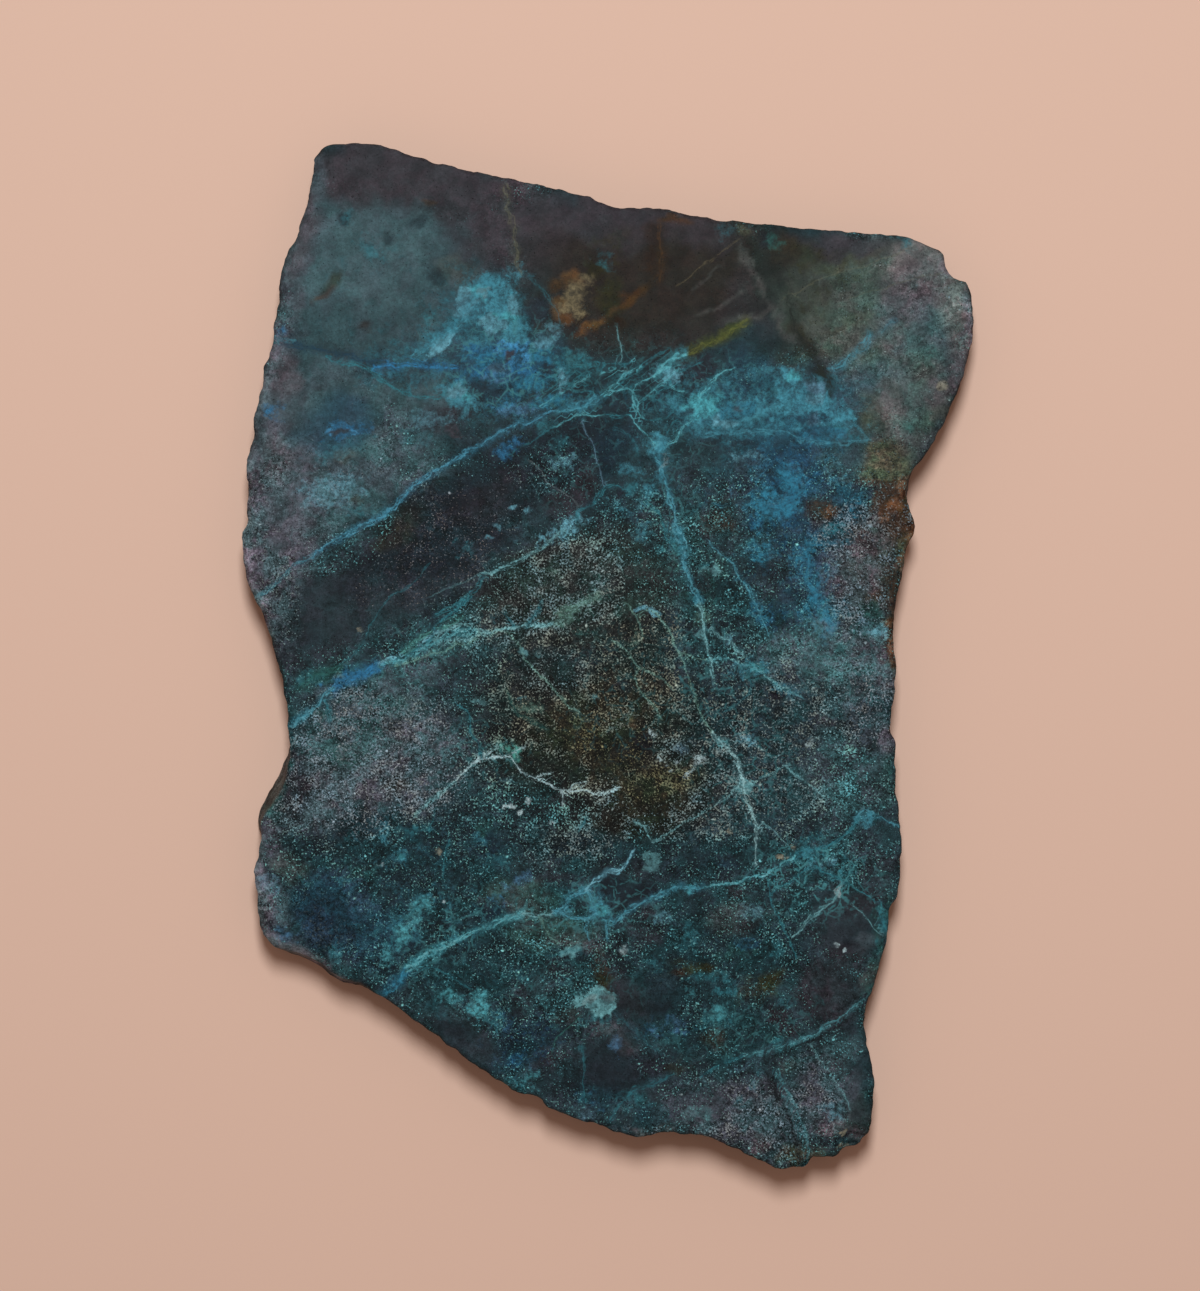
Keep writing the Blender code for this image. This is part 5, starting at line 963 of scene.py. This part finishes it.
def build_stone(material):
    """The whole stone as one closed mesh with its mineral fields stored on its points."""
    rings, face, under, run = slab_surface()
    points = np.vstack(rings + [face, under])
    faces, seam, wall_faces, top_faces = slab_faces(len(rings), len(run))
    mesh = bpy.data.meshes.new("slab_stone")
    mesh.from_pydata(points * MM, [], faces.tolist() + seam.tolist())
    mesh.polygons.foreach_set("use_smooth", np.ones(len(mesh.polygons), dtype=bool))
    layout = mesh.uv_layers.new(name="OFBake")
    flat = flat_layout(faces, seam, wall_faces, top_faces, rings, face, under, run)
    layout.data.foreach_set("uv", flat.astype(np.float32).ravel())

    # The veins dip to one side as they go down through the slab.
    depth = THICKNESS - points[:, 2]
    plan = points[:, :2] + depth[:, None] * VEIN_DIP
    opaque = np.ones((len(points), 1))
    crust_tint, crust_edge = crust_field(plan)
    vein_tint, vein_lines = vein_field(plan)
    weathered = ramp(depth, 0.15, 1.6) * ramp(THICKNESS - depth, 0.0, 0.3)
    weathered[len(rings) * len(run):] = 0.0
    add_attribute(mesh, "rock", "FLOAT_COLOR", "color", np.hstack([rock_field(plan), opaque]))
    add_attribute(mesh, "grain", "FLOAT_COLOR", "color", grain_field(plan))
    add_attribute(mesh, "crust", "FLOAT_COLOR", "color", crust_tint)
    add_attribute(mesh, "stain", "FLOAT_COLOR", "color", stain_field(plan))
    add_attribute(mesh, "crust_edge", "FLOAT_VECTOR", "vector", crust_edge)
    add_attribute(mesh, "vein", "FLOAT_COLOR", "color", vein_tint)
    add_attribute(mesh, "vein_line", "FLOAT_VECTOR", "vector", vein_lines)
    add_attribute(mesh, "marks", "FLOAT_VECTOR", "vector", mark_field(plan))
    add_attribute(mesh, "weathered", "FLOAT", "value", weathered)
    mesh.materials.append(material)
    mesh.validate()
    stone = bpy.data.objects.new("slab_stone", mesh)
    bpy.context.scene.collection.objects.link(stone)
    return stone


# ---- materials ---------------------------------------------------------------------------------------------

def add_node(tree, kind, inputs=None, output=0, **settings):
    """Add a node, set its properties, set or link its inputs, and give back one of its outputs."""
    node = tree.nodes.new(kind)
    for name, value in settings.items():
        setattr(node, name, value)
    for socket, source in (inputs or {}).items():
        if isinstance(source, bpy.types.NodeSocket):
            tree.links.new(source, node.inputs[socket])
        else:
            node.inputs[socket].default_value = source
    return node.outputs if output is None else node.outputs[output]


MATH, VECTOR, MIX, SPAN = "ShaderNodeMath", "ShaderNodeVectorMath", "ShaderNodeMix", "ShaderNodeMapRange"
NOISE, CELLS, FIELD, SPLIT = "ShaderNodeTexNoise", "ShaderNodeTexVoronoi", "ShaderNodeAttribute", "ShaderNodeSeparateColor"
SMOOTH = {"interpolation_type": "SMOOTHSTEP"}
TINT = {"data_type": "RGBA", "clamp_result": False}
SHADE = {"data_type": "RGBA", "blend_type": "MULTIPLY", "clamp_result": False}


def rock_material():
    """Sawn chrysocolla rock: dull copper oxides and quartz, cut on a slab saw and not polished.

    The eye reads it as a dark, slightly satin stone: pale and dark grains of 0.2 to 0.4 mm everywhere, ragged
    blue-green crusts, veins and wisps of stain, and faint saw marks half a millimetre apart.
    """
    material = bpy.data.materials.new("sawn chrysocolla rock")
    material.use_nodes = True
    tree = material.node_tree
    tree.nodes.clear()
    add = partial(add_node, tree)

    # Place on the stone in millimetres, and the same place shifted a little at random so that nothing is regular.
    place = add("ShaderNodeTexCoord", output="Object")
    place = add(VECTOR, {0: place, 3: 1000.0}, operation="SCALE")
    shift = add(NOISE, {"Vector": place, "Scale": 2.4, "Detail": 2.0}, "Color")
    shift = add(VECTOR, {0: shift, 1: (0.5, 0.5, 0.5)}, operation="SUBTRACT")
    uneven = add(VECTOR, {0: shift, 1: (0.3, 0.3, 0.3), 2: place}, operation="MULTIPLY_ADD")
    drift = add(NOISE, {"Vector": place, "Scale": 0.5, "Detail": 3.0}, "Color")
    drift = add(VECTOR, {0: drift, 1: (0.5, 0.5, 0.5)}, operation="SUBTRACT")
    drifted = add(VECTOR, {0: drift, 1: (2.6, 2.6, 2.6), 2: uneven}, operation="MULTIPLY_ADD")

    # Rock: the zone colour with clouds of 2 mm and flecks of 0.5 mm, some greener and some more plum.
    clouds = add(NOISE, {"Vector": place, "Scale": 0.5, "Detail": 4.0, "Roughness": 0.6})
    flecks = add(NOISE, {"Vector": uneven, "Scale": 2.0, "Detail": 4.0, "Roughness": 0.75})
    dust = add(NOISE, {"Vector": uneven, "Scale": 5.5, "Detail": 2.0, "Roughness": 0.8})
    hue = add(NOISE, {"Vector": drifted, "Scale": 0.42, "Detail": 4.0, "Roughness": 0.62})
    rock = add(FIELD, output="Color", attribute_name="rock")
    green = add(MIX, {0: 1.0, 6: rock, 7: (0.76, 1.1, 1.06, 1.0)}, 2, **SHADE)
    plum = add(MIX, {0: 1.0, 6: rock, 7: (1.14, 0.88, 0.98, 1.0)}, 2, **SHADE)
    grain = add(FIELD, output=None, attribute_name="grain")
    grit = add(SPAN, {0: grain["Alpha"], 1: 0.05, 2: 0.6, 3: 0.3, 4: 1.42})
    lean = add(SPAN, {0: hue, 1: 0.35, 2: 0.65, 3: -0.5, 4: 0.5}, **SMOOTH)
    lean = add(MATH, {0: lean, 1: grit, 2: 0.5}, operation="MULTIPLY_ADD", use_clamp=True)
    rock = add(MIX, {0: lean, 6: plum, 7: green}, 2, **TINT)
    light = add(SPAN, {0: clouds, 1: 0.32, 2: 0.68, 3: -0.25, 4: 0.25}, **SMOOTH)
    light = add(MATH, {0: light, 1: add(SPAN, {0: grit, 1: 0.3, 2: 1.3, 3: 0.45, 4: 1.1}), 2: 0.515}, operation="MULTIPLY_ADD")
    for speckle in (flecks, dust):
        speckle = add(SPAN, {0: speckle, 1: 0.28, 2: 0.72, 3: -0.5, 4: 0.5}, **SMOOTH)
        speckle = add(MATH, {0: speckle, 1: grit, 2: 1.0}, operation="MULTIPLY_ADD")
        light = add(MATH, {0: light, 1: speckle}, operation="MULTIPLY")
    stone = add(MIX, {0: 1.0, 6: rock, 7: light}, 2, **SHADE)

    # Stain: wisps where drifting noise is high, so that it looks soaked in rather than laid on.
    stain = add(FIELD, output=None, attribute_name="stain")
    wisps = add(NOISE, {"Vector": drifted, "Scale": 0.75, "Detail": 6.0, "Roughness": 0.7})
    lowest = add(MATH, {0: stain["Alpha"], 1: -0.34, 2: 0.66}, operation="MULTIPLY_ADD")
    highest = add(MATH, {0: lowest, 1: 0.2}, operation="ADD")
    soaked = add(SPAN, {0: wisps, 1: lowest, 2: highest}, **SMOOTH)
    soaked = add(MATH, {0: soaked, 1: add(SPAN, {0: flecks, 1: 0.3, 2: 0.6, 3: 0.3, 4: 0.95}, **SMOOTH)}, operation="MULTIPLY")
    soaked = add(MATH, {0: soaked, 1: stain["Alpha"]}, operation="MULTIPLY")
    stained = add(MIX, {0: 1.0, 6: stain["Color"], 7: light}, 2, **SHADE)
    stone = add(MIX, {0: soaked, 6: stone, 7: stained}, 2, **TINT)

    # The nearest vein: how far its line is on either side, how far its ends are, and half its width.
    vein = add(FIELD, output=None, attribute_name="vein")
    parts = add("ShaderNodeSeparateXYZ", {0: add(FIELD, output="Vector", attribute_name="vein_line")}, None)
    past_end = add(MATH, {0: parts[1], 1: 0.25}, operation="SUBTRACT")
    away = add(MATH, {0: add(MATH, {0: parts[0]}, operation="ABSOLUTE"), 1: past_end}, operation="MAXIMUM")
    wander = add(NOISE, {"Vector": uneven, "Scale": 1.7, "Detail": 5.0, "Roughness": 0.8})
    wander = add(MATH, {0: wander, 1: 0.5}, operation="SUBTRACT")
    around = add(MATH, {0: wander, 1: 1.0, 2: away}, operation="MULTIPLY_ADD")
    far = add(MATH, {0: parts[2], 1: 1.6, 2: 0.2}, operation="MULTIPLY_ADD")
    halo = add(SPAN, {0: around, 1: far, 2: 0.0}, **SMOOTH)
    halo = add(MATH, {0: halo, 1: vein["Alpha"]}, operation="MULTIPLY")

    # Grains: fine salt and pepper of 0.15 to 0.3 mm that gathers in patches, and a few larger white grains.
    gather = add(NOISE, {"Vector": place, "Scale": 0.9, "Detail": 3.0, "Roughness": 0.7})
    gather = add(SPAN, {0: gather, 1: 0.34, 2: 0.66, 3: 0.2, 4: 1.3})
    amount = add(MATH, {0: grain["Alpha"], 1: gather}, operation="MULTIPLY")
    near_vein = add(MATH, {0: grain["Alpha"], 1: 0.4}, operation="MULTIPLY")
    amount = add(MATH, {0: halo, 1: near_vein, 2: amount}, operation="MULTIPLY_ADD")
    salt = add(NOISE, {"Vector": place, "Scale": 5.0, "Detail": 2.0, "Roughness": 0.8}, None)
    salt_parts = add(SPLIT, {0: salt["Color"]}, None)
    least = add(MATH, {0: amount, 1: -0.17, 2: 0.66}, operation="MULTIPLY_ADD")
    most = add(MATH, {0: least, 1: 0.06}, operation="ADD")
    pale = add(SPAN, {0: salt_parts[0], 1: least, 2: most}, **SMOOTH)
    dark = add(SPAN, {0: salt_parts[1], 1: least, 2: most}, **SMOOTH)
    cells = add(CELLS, {"Vector": uneven, "Scale": 1.9}, None)
    number = add(SPLIT, {0: cells["Color"]}, None)
    chance = add(SPAN, {0: amount, 1: 0.25, 2: 1.0, 3: 1.0, 4: 0.86})
    body = add(SPAN, {0: cells["Distance"], 1: 0.36, 2: 0.12}, **SMOOTH)
    lump = add(MATH, {0: add(SPAN, {0: number[0], 1: chance, 2: 1.0}), 1: body}, operation="MULTIPLY")
    darker = add(MIX, {0: 1.0, 6: stone, 7: (0.12, 0.12, 0.12, 1.0)}, 2, **SHADE)
    stone = add(MIX, {0: dark, 6: stone, 7: darker}, 2, **TINT)
    glint = add(SPAN, {0: salt_parts[2], 1: 0.35, 2: 0.65, 3: 0.42, 4: 2.3})
    glint = add(MATH, {0: lump, 1: 1.2, 2: glint}, operation="MULTIPLY_ADD")
    grain_tint = add(MIX, {0: add(MATH, {0: halo, 1: 0.8}, operation="MULTIPLY"), 6: grain["Color"], 7: vein["Color"]}, 2, **TINT)
    warm = add(MIX, {0: add(SPAN, {0: hue, 1: 0.4, 2: 0.6}), 6: (1.08, 1.02, 0.88, 1.0), 7: (0.8, 1.0, 1.04, 1.0)}, 2, **TINT)
    grain_tint = add(MIX, {0: 1.0, 6: grain_tint, 7: warm}, 2, **SHADE)
    bright = add(MIX, {0: 1.0, 6: grain_tint, 7: glint}, 2, **SHADE)
    sprinkle = add(MATH, {0: pale, 1: add(SPAN, {0: amount, 1: 0.02, 2: 0.32, 3: 0.12, 4: 0.85})}, operation="MULTIPLY")
    sprinkle = add(MATH, {0: sprinkle, 1: lump}, operation="MAXIMUM")
    stone = add(MIX, {0: sprinkle, 6: stone, 7: bright}, 2, **TINT)

    # Crusts: inside the stored border, made ragged by noise and grains. Cloudy ones fade in over a millimetre.
    crust = add(FIELD, output=None, attribute_name="crust")
    border = add("ShaderNodeSeparateXYZ", {0: add(FIELD, output="Vector", attribute_name="crust_edge")}, None)
    torn = add(NOISE, {"Vector": uneven, "Scale": 0.9, "Detail": 6.0, "Roughness": 0.72})
    reach = add(MATH, {0: border[1], 1: 2.9, 2: 1.2}, operation="MULTIPLY_ADD")
    torn = add(MATH, {0: add(MATH, {0: torn, 1: 0.5}, operation="SUBTRACT"), 1: reach, 2: border[0]}, operation="MULTIPLY_ADD")
    torn = add(MATH, {0: dark, 1: -0.4, 2: torn}, operation="MULTIPLY_ADD")
    fade = add(MATH, {0: border[1], 1: 0.42, 2: 0.14}, operation="MULTIPLY_ADD")
    cover = add(SPAN, {0: torn, 1: add(MATH, {0: fade, 1: -0.8}, operation="MULTIPLY"), 2: fade}, **SMOOTH)
    cover = add(MATH, {0: cover, 1: crust["Alpha"]}, operation="MULTIPLY")
    holes = add(SPAN, {0: wisps, 1: 0.36, 2: 0.56, 3: 0.3, 4: 1.0}, **SMOOTH)
    cover = add(MATH, {0: cover, 1: holes}, operation="MULTIPLY")
    pores = add(SPAN, {0: flecks, 1: 0.36, 2: 0.56, 3: -0.6, 4: 0.0}, **SMOOTH)
    pores = add(MATH, {0: pores, 1: border[1]}, operation="MULTIPLY")
    pores = add(MATH, {0: pores, 1: add(SPAN, {0: grit, 1: 0.35, 2: 0.9}), 2: 1.0}, operation="MULTIPLY_ADD")
    cover = add(MATH, {0: cover, 1: pores}, operation="MULTIPLY")
    bloom = add(MIX, {0: 1.0, 6: crust["Color"], 7: add(SPAN, {0: flecks, 1: 0.28, 2: 0.72, 3: 0.5, 4: 1.45}, **SMOOTH)}, 2, **SHADE)
    stone = add(MIX, {0: cover, 6: stone, 7: bloom}, 2, **TINT)

    # The net of fine cracks: the walls between cells of 2.2 mm and 1 mm, broken up by noise.
    marks = add("ShaderNodeSeparateXYZ", {0: add(FIELD, output="Vector", attribute_name="marks")}, None)
    bent = add(VECTOR, {0: drift, 1: (1.6, 1.6, 1.6), 2: place}, operation="MULTIPLY_ADD")
    net = []
    for scale, width in ((0.42, 0.05), (0.95, 0.045)):
        wall = add(CELLS, {"Vector": bent, "Scale": scale}, feature="DISTANCE_TO_EDGE")
        wall = add(MATH, {0: wall, 1: 1.0 / scale, 2: add(MATH, {0: wander, 1: 0.25}, operation="MULTIPLY")}, operation="MULTIPLY_ADD")
        line = add(SPAN, {0: wall, 1: width + 0.09, 2: width - 0.04}, **SMOOTH)
        gaps = add(NOISE, {"Vector": place, "Scale": 0.45 + scale, "Detail": 2.0}, "Color")
        gaps = add(SPAN, {0: add(SPLIT, {0: gaps}, 2), 1: 0.47, 2: 0.6}, **SMOOTH)
        line = add(MATH, {0: line, 1: gaps}, operation="MULTIPLY")
        line = add(MATH, {0: line, 1: marks[2]}, operation="MULTIPLY")
        net.append(line)
        stone = add(MIX, {0: line, 6: stone, 7: CRACK_FILL}, 2, **TINT)

    # Veins: a soft band of stain, and in it three bright strands that cross one another.
    band = add(SPAN, {0: parts[2], 1: 0.1, 2: 0.5, 3: 0.1, 4: 0.75})
    soft = add(SPAN, {0: flecks, 1: 0.34, 2: 0.6, 3: 0.15, 4: 1.0}, **SMOOTH)
    soft = add(MATH, {0: soft, 1: halo}, operation="MULTIPLY")
    soft = add(MATH, {0: soft, 1: band}, operation="MULTIPLY")
    halo_tint = add(MIX, {0: 1.0, 6: vein["Color"], 7: (0.7, 0.8, 0.84, 1.0)}, 2, **SHADE)
    stone = add(MIX, {0: soft, 6: stone, 7: halo_tint}, 2, **TINT)
    swing = add(NOISE, {"Vector": place, "Scale": 0.38, "Detail": 2.0, "Roughness": 0.6}, "Color")
    swing = add(SPLIT, {0: swing}, None)
    ragged = add(NOISE, {"Vector": uneven, "Scale": 2.3, "Detail": 3.0, "Roughness": 0.75})
    ragged = add(MATH, {0: add(MATH, {0: ragged, 1: 0.5}, operation="SUBTRACT"), 1: add(SPAN, {0: grain["Alpha"], 3: 0.25, 4: 0.9})}, operation="MULTIPLY")
    across = add(MATH, {0: parts[0], 1: ragged}, operation="ADD")
    ebb = add(NOISE, {"Vector": place, "Scale": 0.9, "Detail": 4.0, "Roughness": 0.7}, "Color")
    ebb = add(SPLIT, {0: ebb}, None)
    thick = add(MATH, {0: parts[2], 1: 0.18, 2: 0.062}, operation="MULTIPLY_ADD")
    thin = add(MATH, {0: thick, 1: 0.08}, operation="SUBTRACT")
    thread = 0.0
    for number in range(3):
        side = add(SPAN, {0: swing[number], 1: 0.3, 2: 0.7, 3: -1.2, 4: 1.2})
        side = add(MATH, {0: side, 1: parts[2]}, operation="MULTIPLY")
        strand = add(MATH, {0: add(MATH, {0: across, 1: side}, operation="SUBTRACT")}, operation="ABSOLUTE")
        strand = add(SPAN, {0: strand, 1: thick, 2: thin}, **SMOOTH)
        strand = add(MATH, {0: strand, 1: add(SPAN, {0: ebb[number], 1: 0.4, 2: 0.6, 3: 0.08, 4: 1.0}, **SMOOTH)}, operation="MULTIPLY")
        thread = add(MATH, {0: thread, 1: strand}, operation="MAXIMUM")
    thread = add(MATH, {0: thread, 1: add(SPAN, {0: past_end, 1: 0.45, 2: 0.1})}, operation="MULTIPLY")
    thread = add(MATH, {0: thread, 1: vein["Alpha"]}, operation="MULTIPLY")
    bead = add(SPAN, {0: salt_parts[0], 1: 0.42, 2: 0.6}, **SMOOTH)
    bead = add(MATH, {0: bead, 1: add(SPAN, {0: grain["Alpha"], 3: 0.1, 4: 0.8})}, operation="MULTIPLY")
    bead = add(MATH, {0: bead, 1: add(SPAN, {0: add(SPLIT, {0: vein["Color"]}, 1), 1: 0.15, 2: 0.3})}, operation="MULTIPLY")
    thread_tint = add(MIX, {0: bead, 6: vein["Color"], 7: BEAD}, 2, **TINT)
    thread_tint = add(MIX, {0: 1.0, 6: thread_tint, 7: add(SPAN, {0: flecks, 1: 0.28, 2: 0.72, 3: 0.7, 4: 1.4}, **SMOOTH)}, 2, **SHADE)
    stone = add(MIX, {0: thread, 6: stone, 7: thread_tint}, 2, **TINT)

    # Saw marks: noise stretched 20 times along the cut, in the two directions the slab was turned to.
    for number, (turn, _) in enumerate(SAW_MARKS):
        along = add("ShaderNodeVectorRotate", {"Vector": place, "Angle": -math.radians(turn)}, rotation_type="Z_AXIS")
        along = add(VECTOR, {0: along, 1: (0.14, 2.8, 2.8)}, operation="MULTIPLY")
        streak = add(NOISE, {"Vector": along, "Scale": 1.0, "Detail": 2.0})
        streak = add(MATH, {0: streak, 1: 0.5}, operation="SUBTRACT")
        streak = add(MATH, {0: streak, 1: marks[number]}, operation="MULTIPLY")
        streak = add(MATH, {0: streak, 1: 1.8, 2: 1.0}, operation="MULTIPLY_ADD")
        stone = add(MIX, {0: 1.0, 6: stone, 7: streak}, 2, **SHADE)

    # The broken rim: the same rock under a thin brown-grey skin from weathering.
    skin = add(MIX, {0: add(SPAN, {0: clouds, 1: 0.35, 2: 0.65}, **SMOOTH), 6: RIM_SKIN_DARK, 7: RIM_SKIN_PALE}, 2, **TINT)
    skin = add(MIX, {0: 1.0, 6: skin, 7: light}, 2, **SHADE)
    covered = add(MATH, {0: add(FIELD, output="Fac", attribute_name="weathered"),
                         1: add(SPAN, {0: hue, 1: 0.3, 2: 0.6, 3: 0.35, 4: 0.8}, **SMOOTH)}, operation="MULTIPLY")
    stone = add(MIX, {0: covered, 6: stone, 7: skin}, 2, **TINT)

    height = add(MATH, {0: add(MATH, {0: pale, 1: dark}, operation="SUBTRACT"), 1: 0.25, 2: flecks}, operation="MULTIPLY_ADD")
    bump = add("ShaderNodeBump", {"Height": height, "Strength": 0.5, "Distance": 0.00006})
    rough = add(SPAN, {0: flecks, 1: 0.3, 2: 0.7, 3: 0.55, 4: 0.72}, **SMOOTH)
    shader = add("ShaderNodeBsdfPrincipled", {"Base Color": stone, "Roughness": rough, "Normal": bump,
                                              "IOR": ROCK_IOR, "Specular IOR Level": ROCK_SPECULAR})
    add("ShaderNodeOutputMaterial", {"Surface": shader}, None)
    return material


def paper_material():
    """Matt card: a plain warm paper that scatters all its light."""
    material = bpy.data.materials.new("matt card")
    material.use_nodes = True
    shader = material.node_tree.nodes["Principled BSDF"]
    shader.inputs["Base Color"].default_value = tuple(linear(CARD)) + (1.0,)
    shader.inputs["Roughness"].default_value = 0.9
    shader.inputs["Specular IOR Level"].default_value = 0.1
    return material


# ---- floor, light and camera -------------------------------------------------------------------------------

def build_studio():
    """A card floor under a soft lamp at the top of the frame, with an even, warmer fill from all round."""
    size = 1.5
    card = bpy.data.meshes.new("floor")
    card.from_pydata([(-size, -size, 0), (size, -size, 0), (size, size, 0), (-size, size, 0)], [], [(0, 1, 2, 3)])
    card.materials.append(paper_material())
    floor = bpy.data.objects.new("floor", card)
    floor.location.z = -0.00002
    bpy.context.scene.collection.objects.link(floor)

    lamp = bpy.data.lights.new("window", "AREA")
    lamp.shape = "ELLIPSE"
    lamp.size = LAMP_WIDTH
    lamp.size_y = LAMP_HEIGHT
    lamp.energy = LAMP_POWER
    lamp.color = LAMP_TINT
    key = bpy.data.objects.new("window", lamp)
    across, up = math.radians(LAMP_AZIMUTH), math.radians(LAMP_ELEVATION)
    key.location = (LAMP_DISTANCE * math.cos(up) * math.sin(across), LAMP_DISTANCE * math.cos(up) * math.cos(across),
                    LAMP_DISTANCE * math.sin(up))
    key.rotation_euler = (-(math.pi / 2.0 - up), 0.0, -across)
    bpy.context.scene.collection.objects.link(key)

    world = bpy.data.worlds.new("fill")
    world.use_nodes = True
    sky = world.node_tree.nodes["Background"]
    sky.inputs["Color"].default_value = FILL_TINT + (1.0,)
    sky.inputs["Strength"].default_value = FILL_STRENGTH
    bpy.context.scene.world = world
    bpy.context.scene.view_settings.view_transform = "Standard"


def build_camera():
    """A camera straight above the slab, 10 pixels to a millimetre at the sawn face."""
    camera = bpy.data.cameras.new("camera")
    camera.sensor_fit = "VERTICAL"
    camera.sensor_height = 24.0
    camera.lens = camera.sensor_height * CAMERA_DISTANCE / FRAME_HEIGHT
    camera.clip_start = 0.01
    view = bpy.data.objects.new("camera", camera)
    view.location = (FRAME_MIDDLE[0], FRAME_MIDDLE[1], THICKNESS * MM + CAMERA_DISTANCE)
    bpy.context.scene.collection.objects.link(view)
    bpy.context.scene.camera = view


VEIN_DIP = np.array([0.25, -0.18])
ROCK_IOR = 1.5
ROCK_SPECULAR = 0.08
CRACK_FILL = tuple(linear("457f84")) + (1.0,)
BEAD = tuple(linear("93bcc1")) + (1.0,)
RIM_SKIN_DARK = tuple(linear("2a2622")) + (1.0,)
RIM_SKIN_PALE = tuple(linear("5b564f")) + (1.0,)
CARD = "dcb3a0"
LAMP_WIDTH = 0.11
LAMP_HEIGHT = 0.22
LAMP_DISTANCE = 0.55
LAMP_AZIMUTH = 0.0
LAMP_ELEVATION = 68.0
LAMP_POWER = 4.5
LAMP_TINT = (0.49, 0.565, 0.588)
FILL_TINT = (0.50, 0.40, 0.34)
FILL_STRENGTH = 0.55
CAMERA_DISTANCE = 0.5
FRAME_HEIGHT = 0.1291
FRAME_MIDDLE = (-0.00075, 0.0011)

stone = build_stone(rock_material())
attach(stone, "root")
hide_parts("slab")
build_studio()
build_camera()
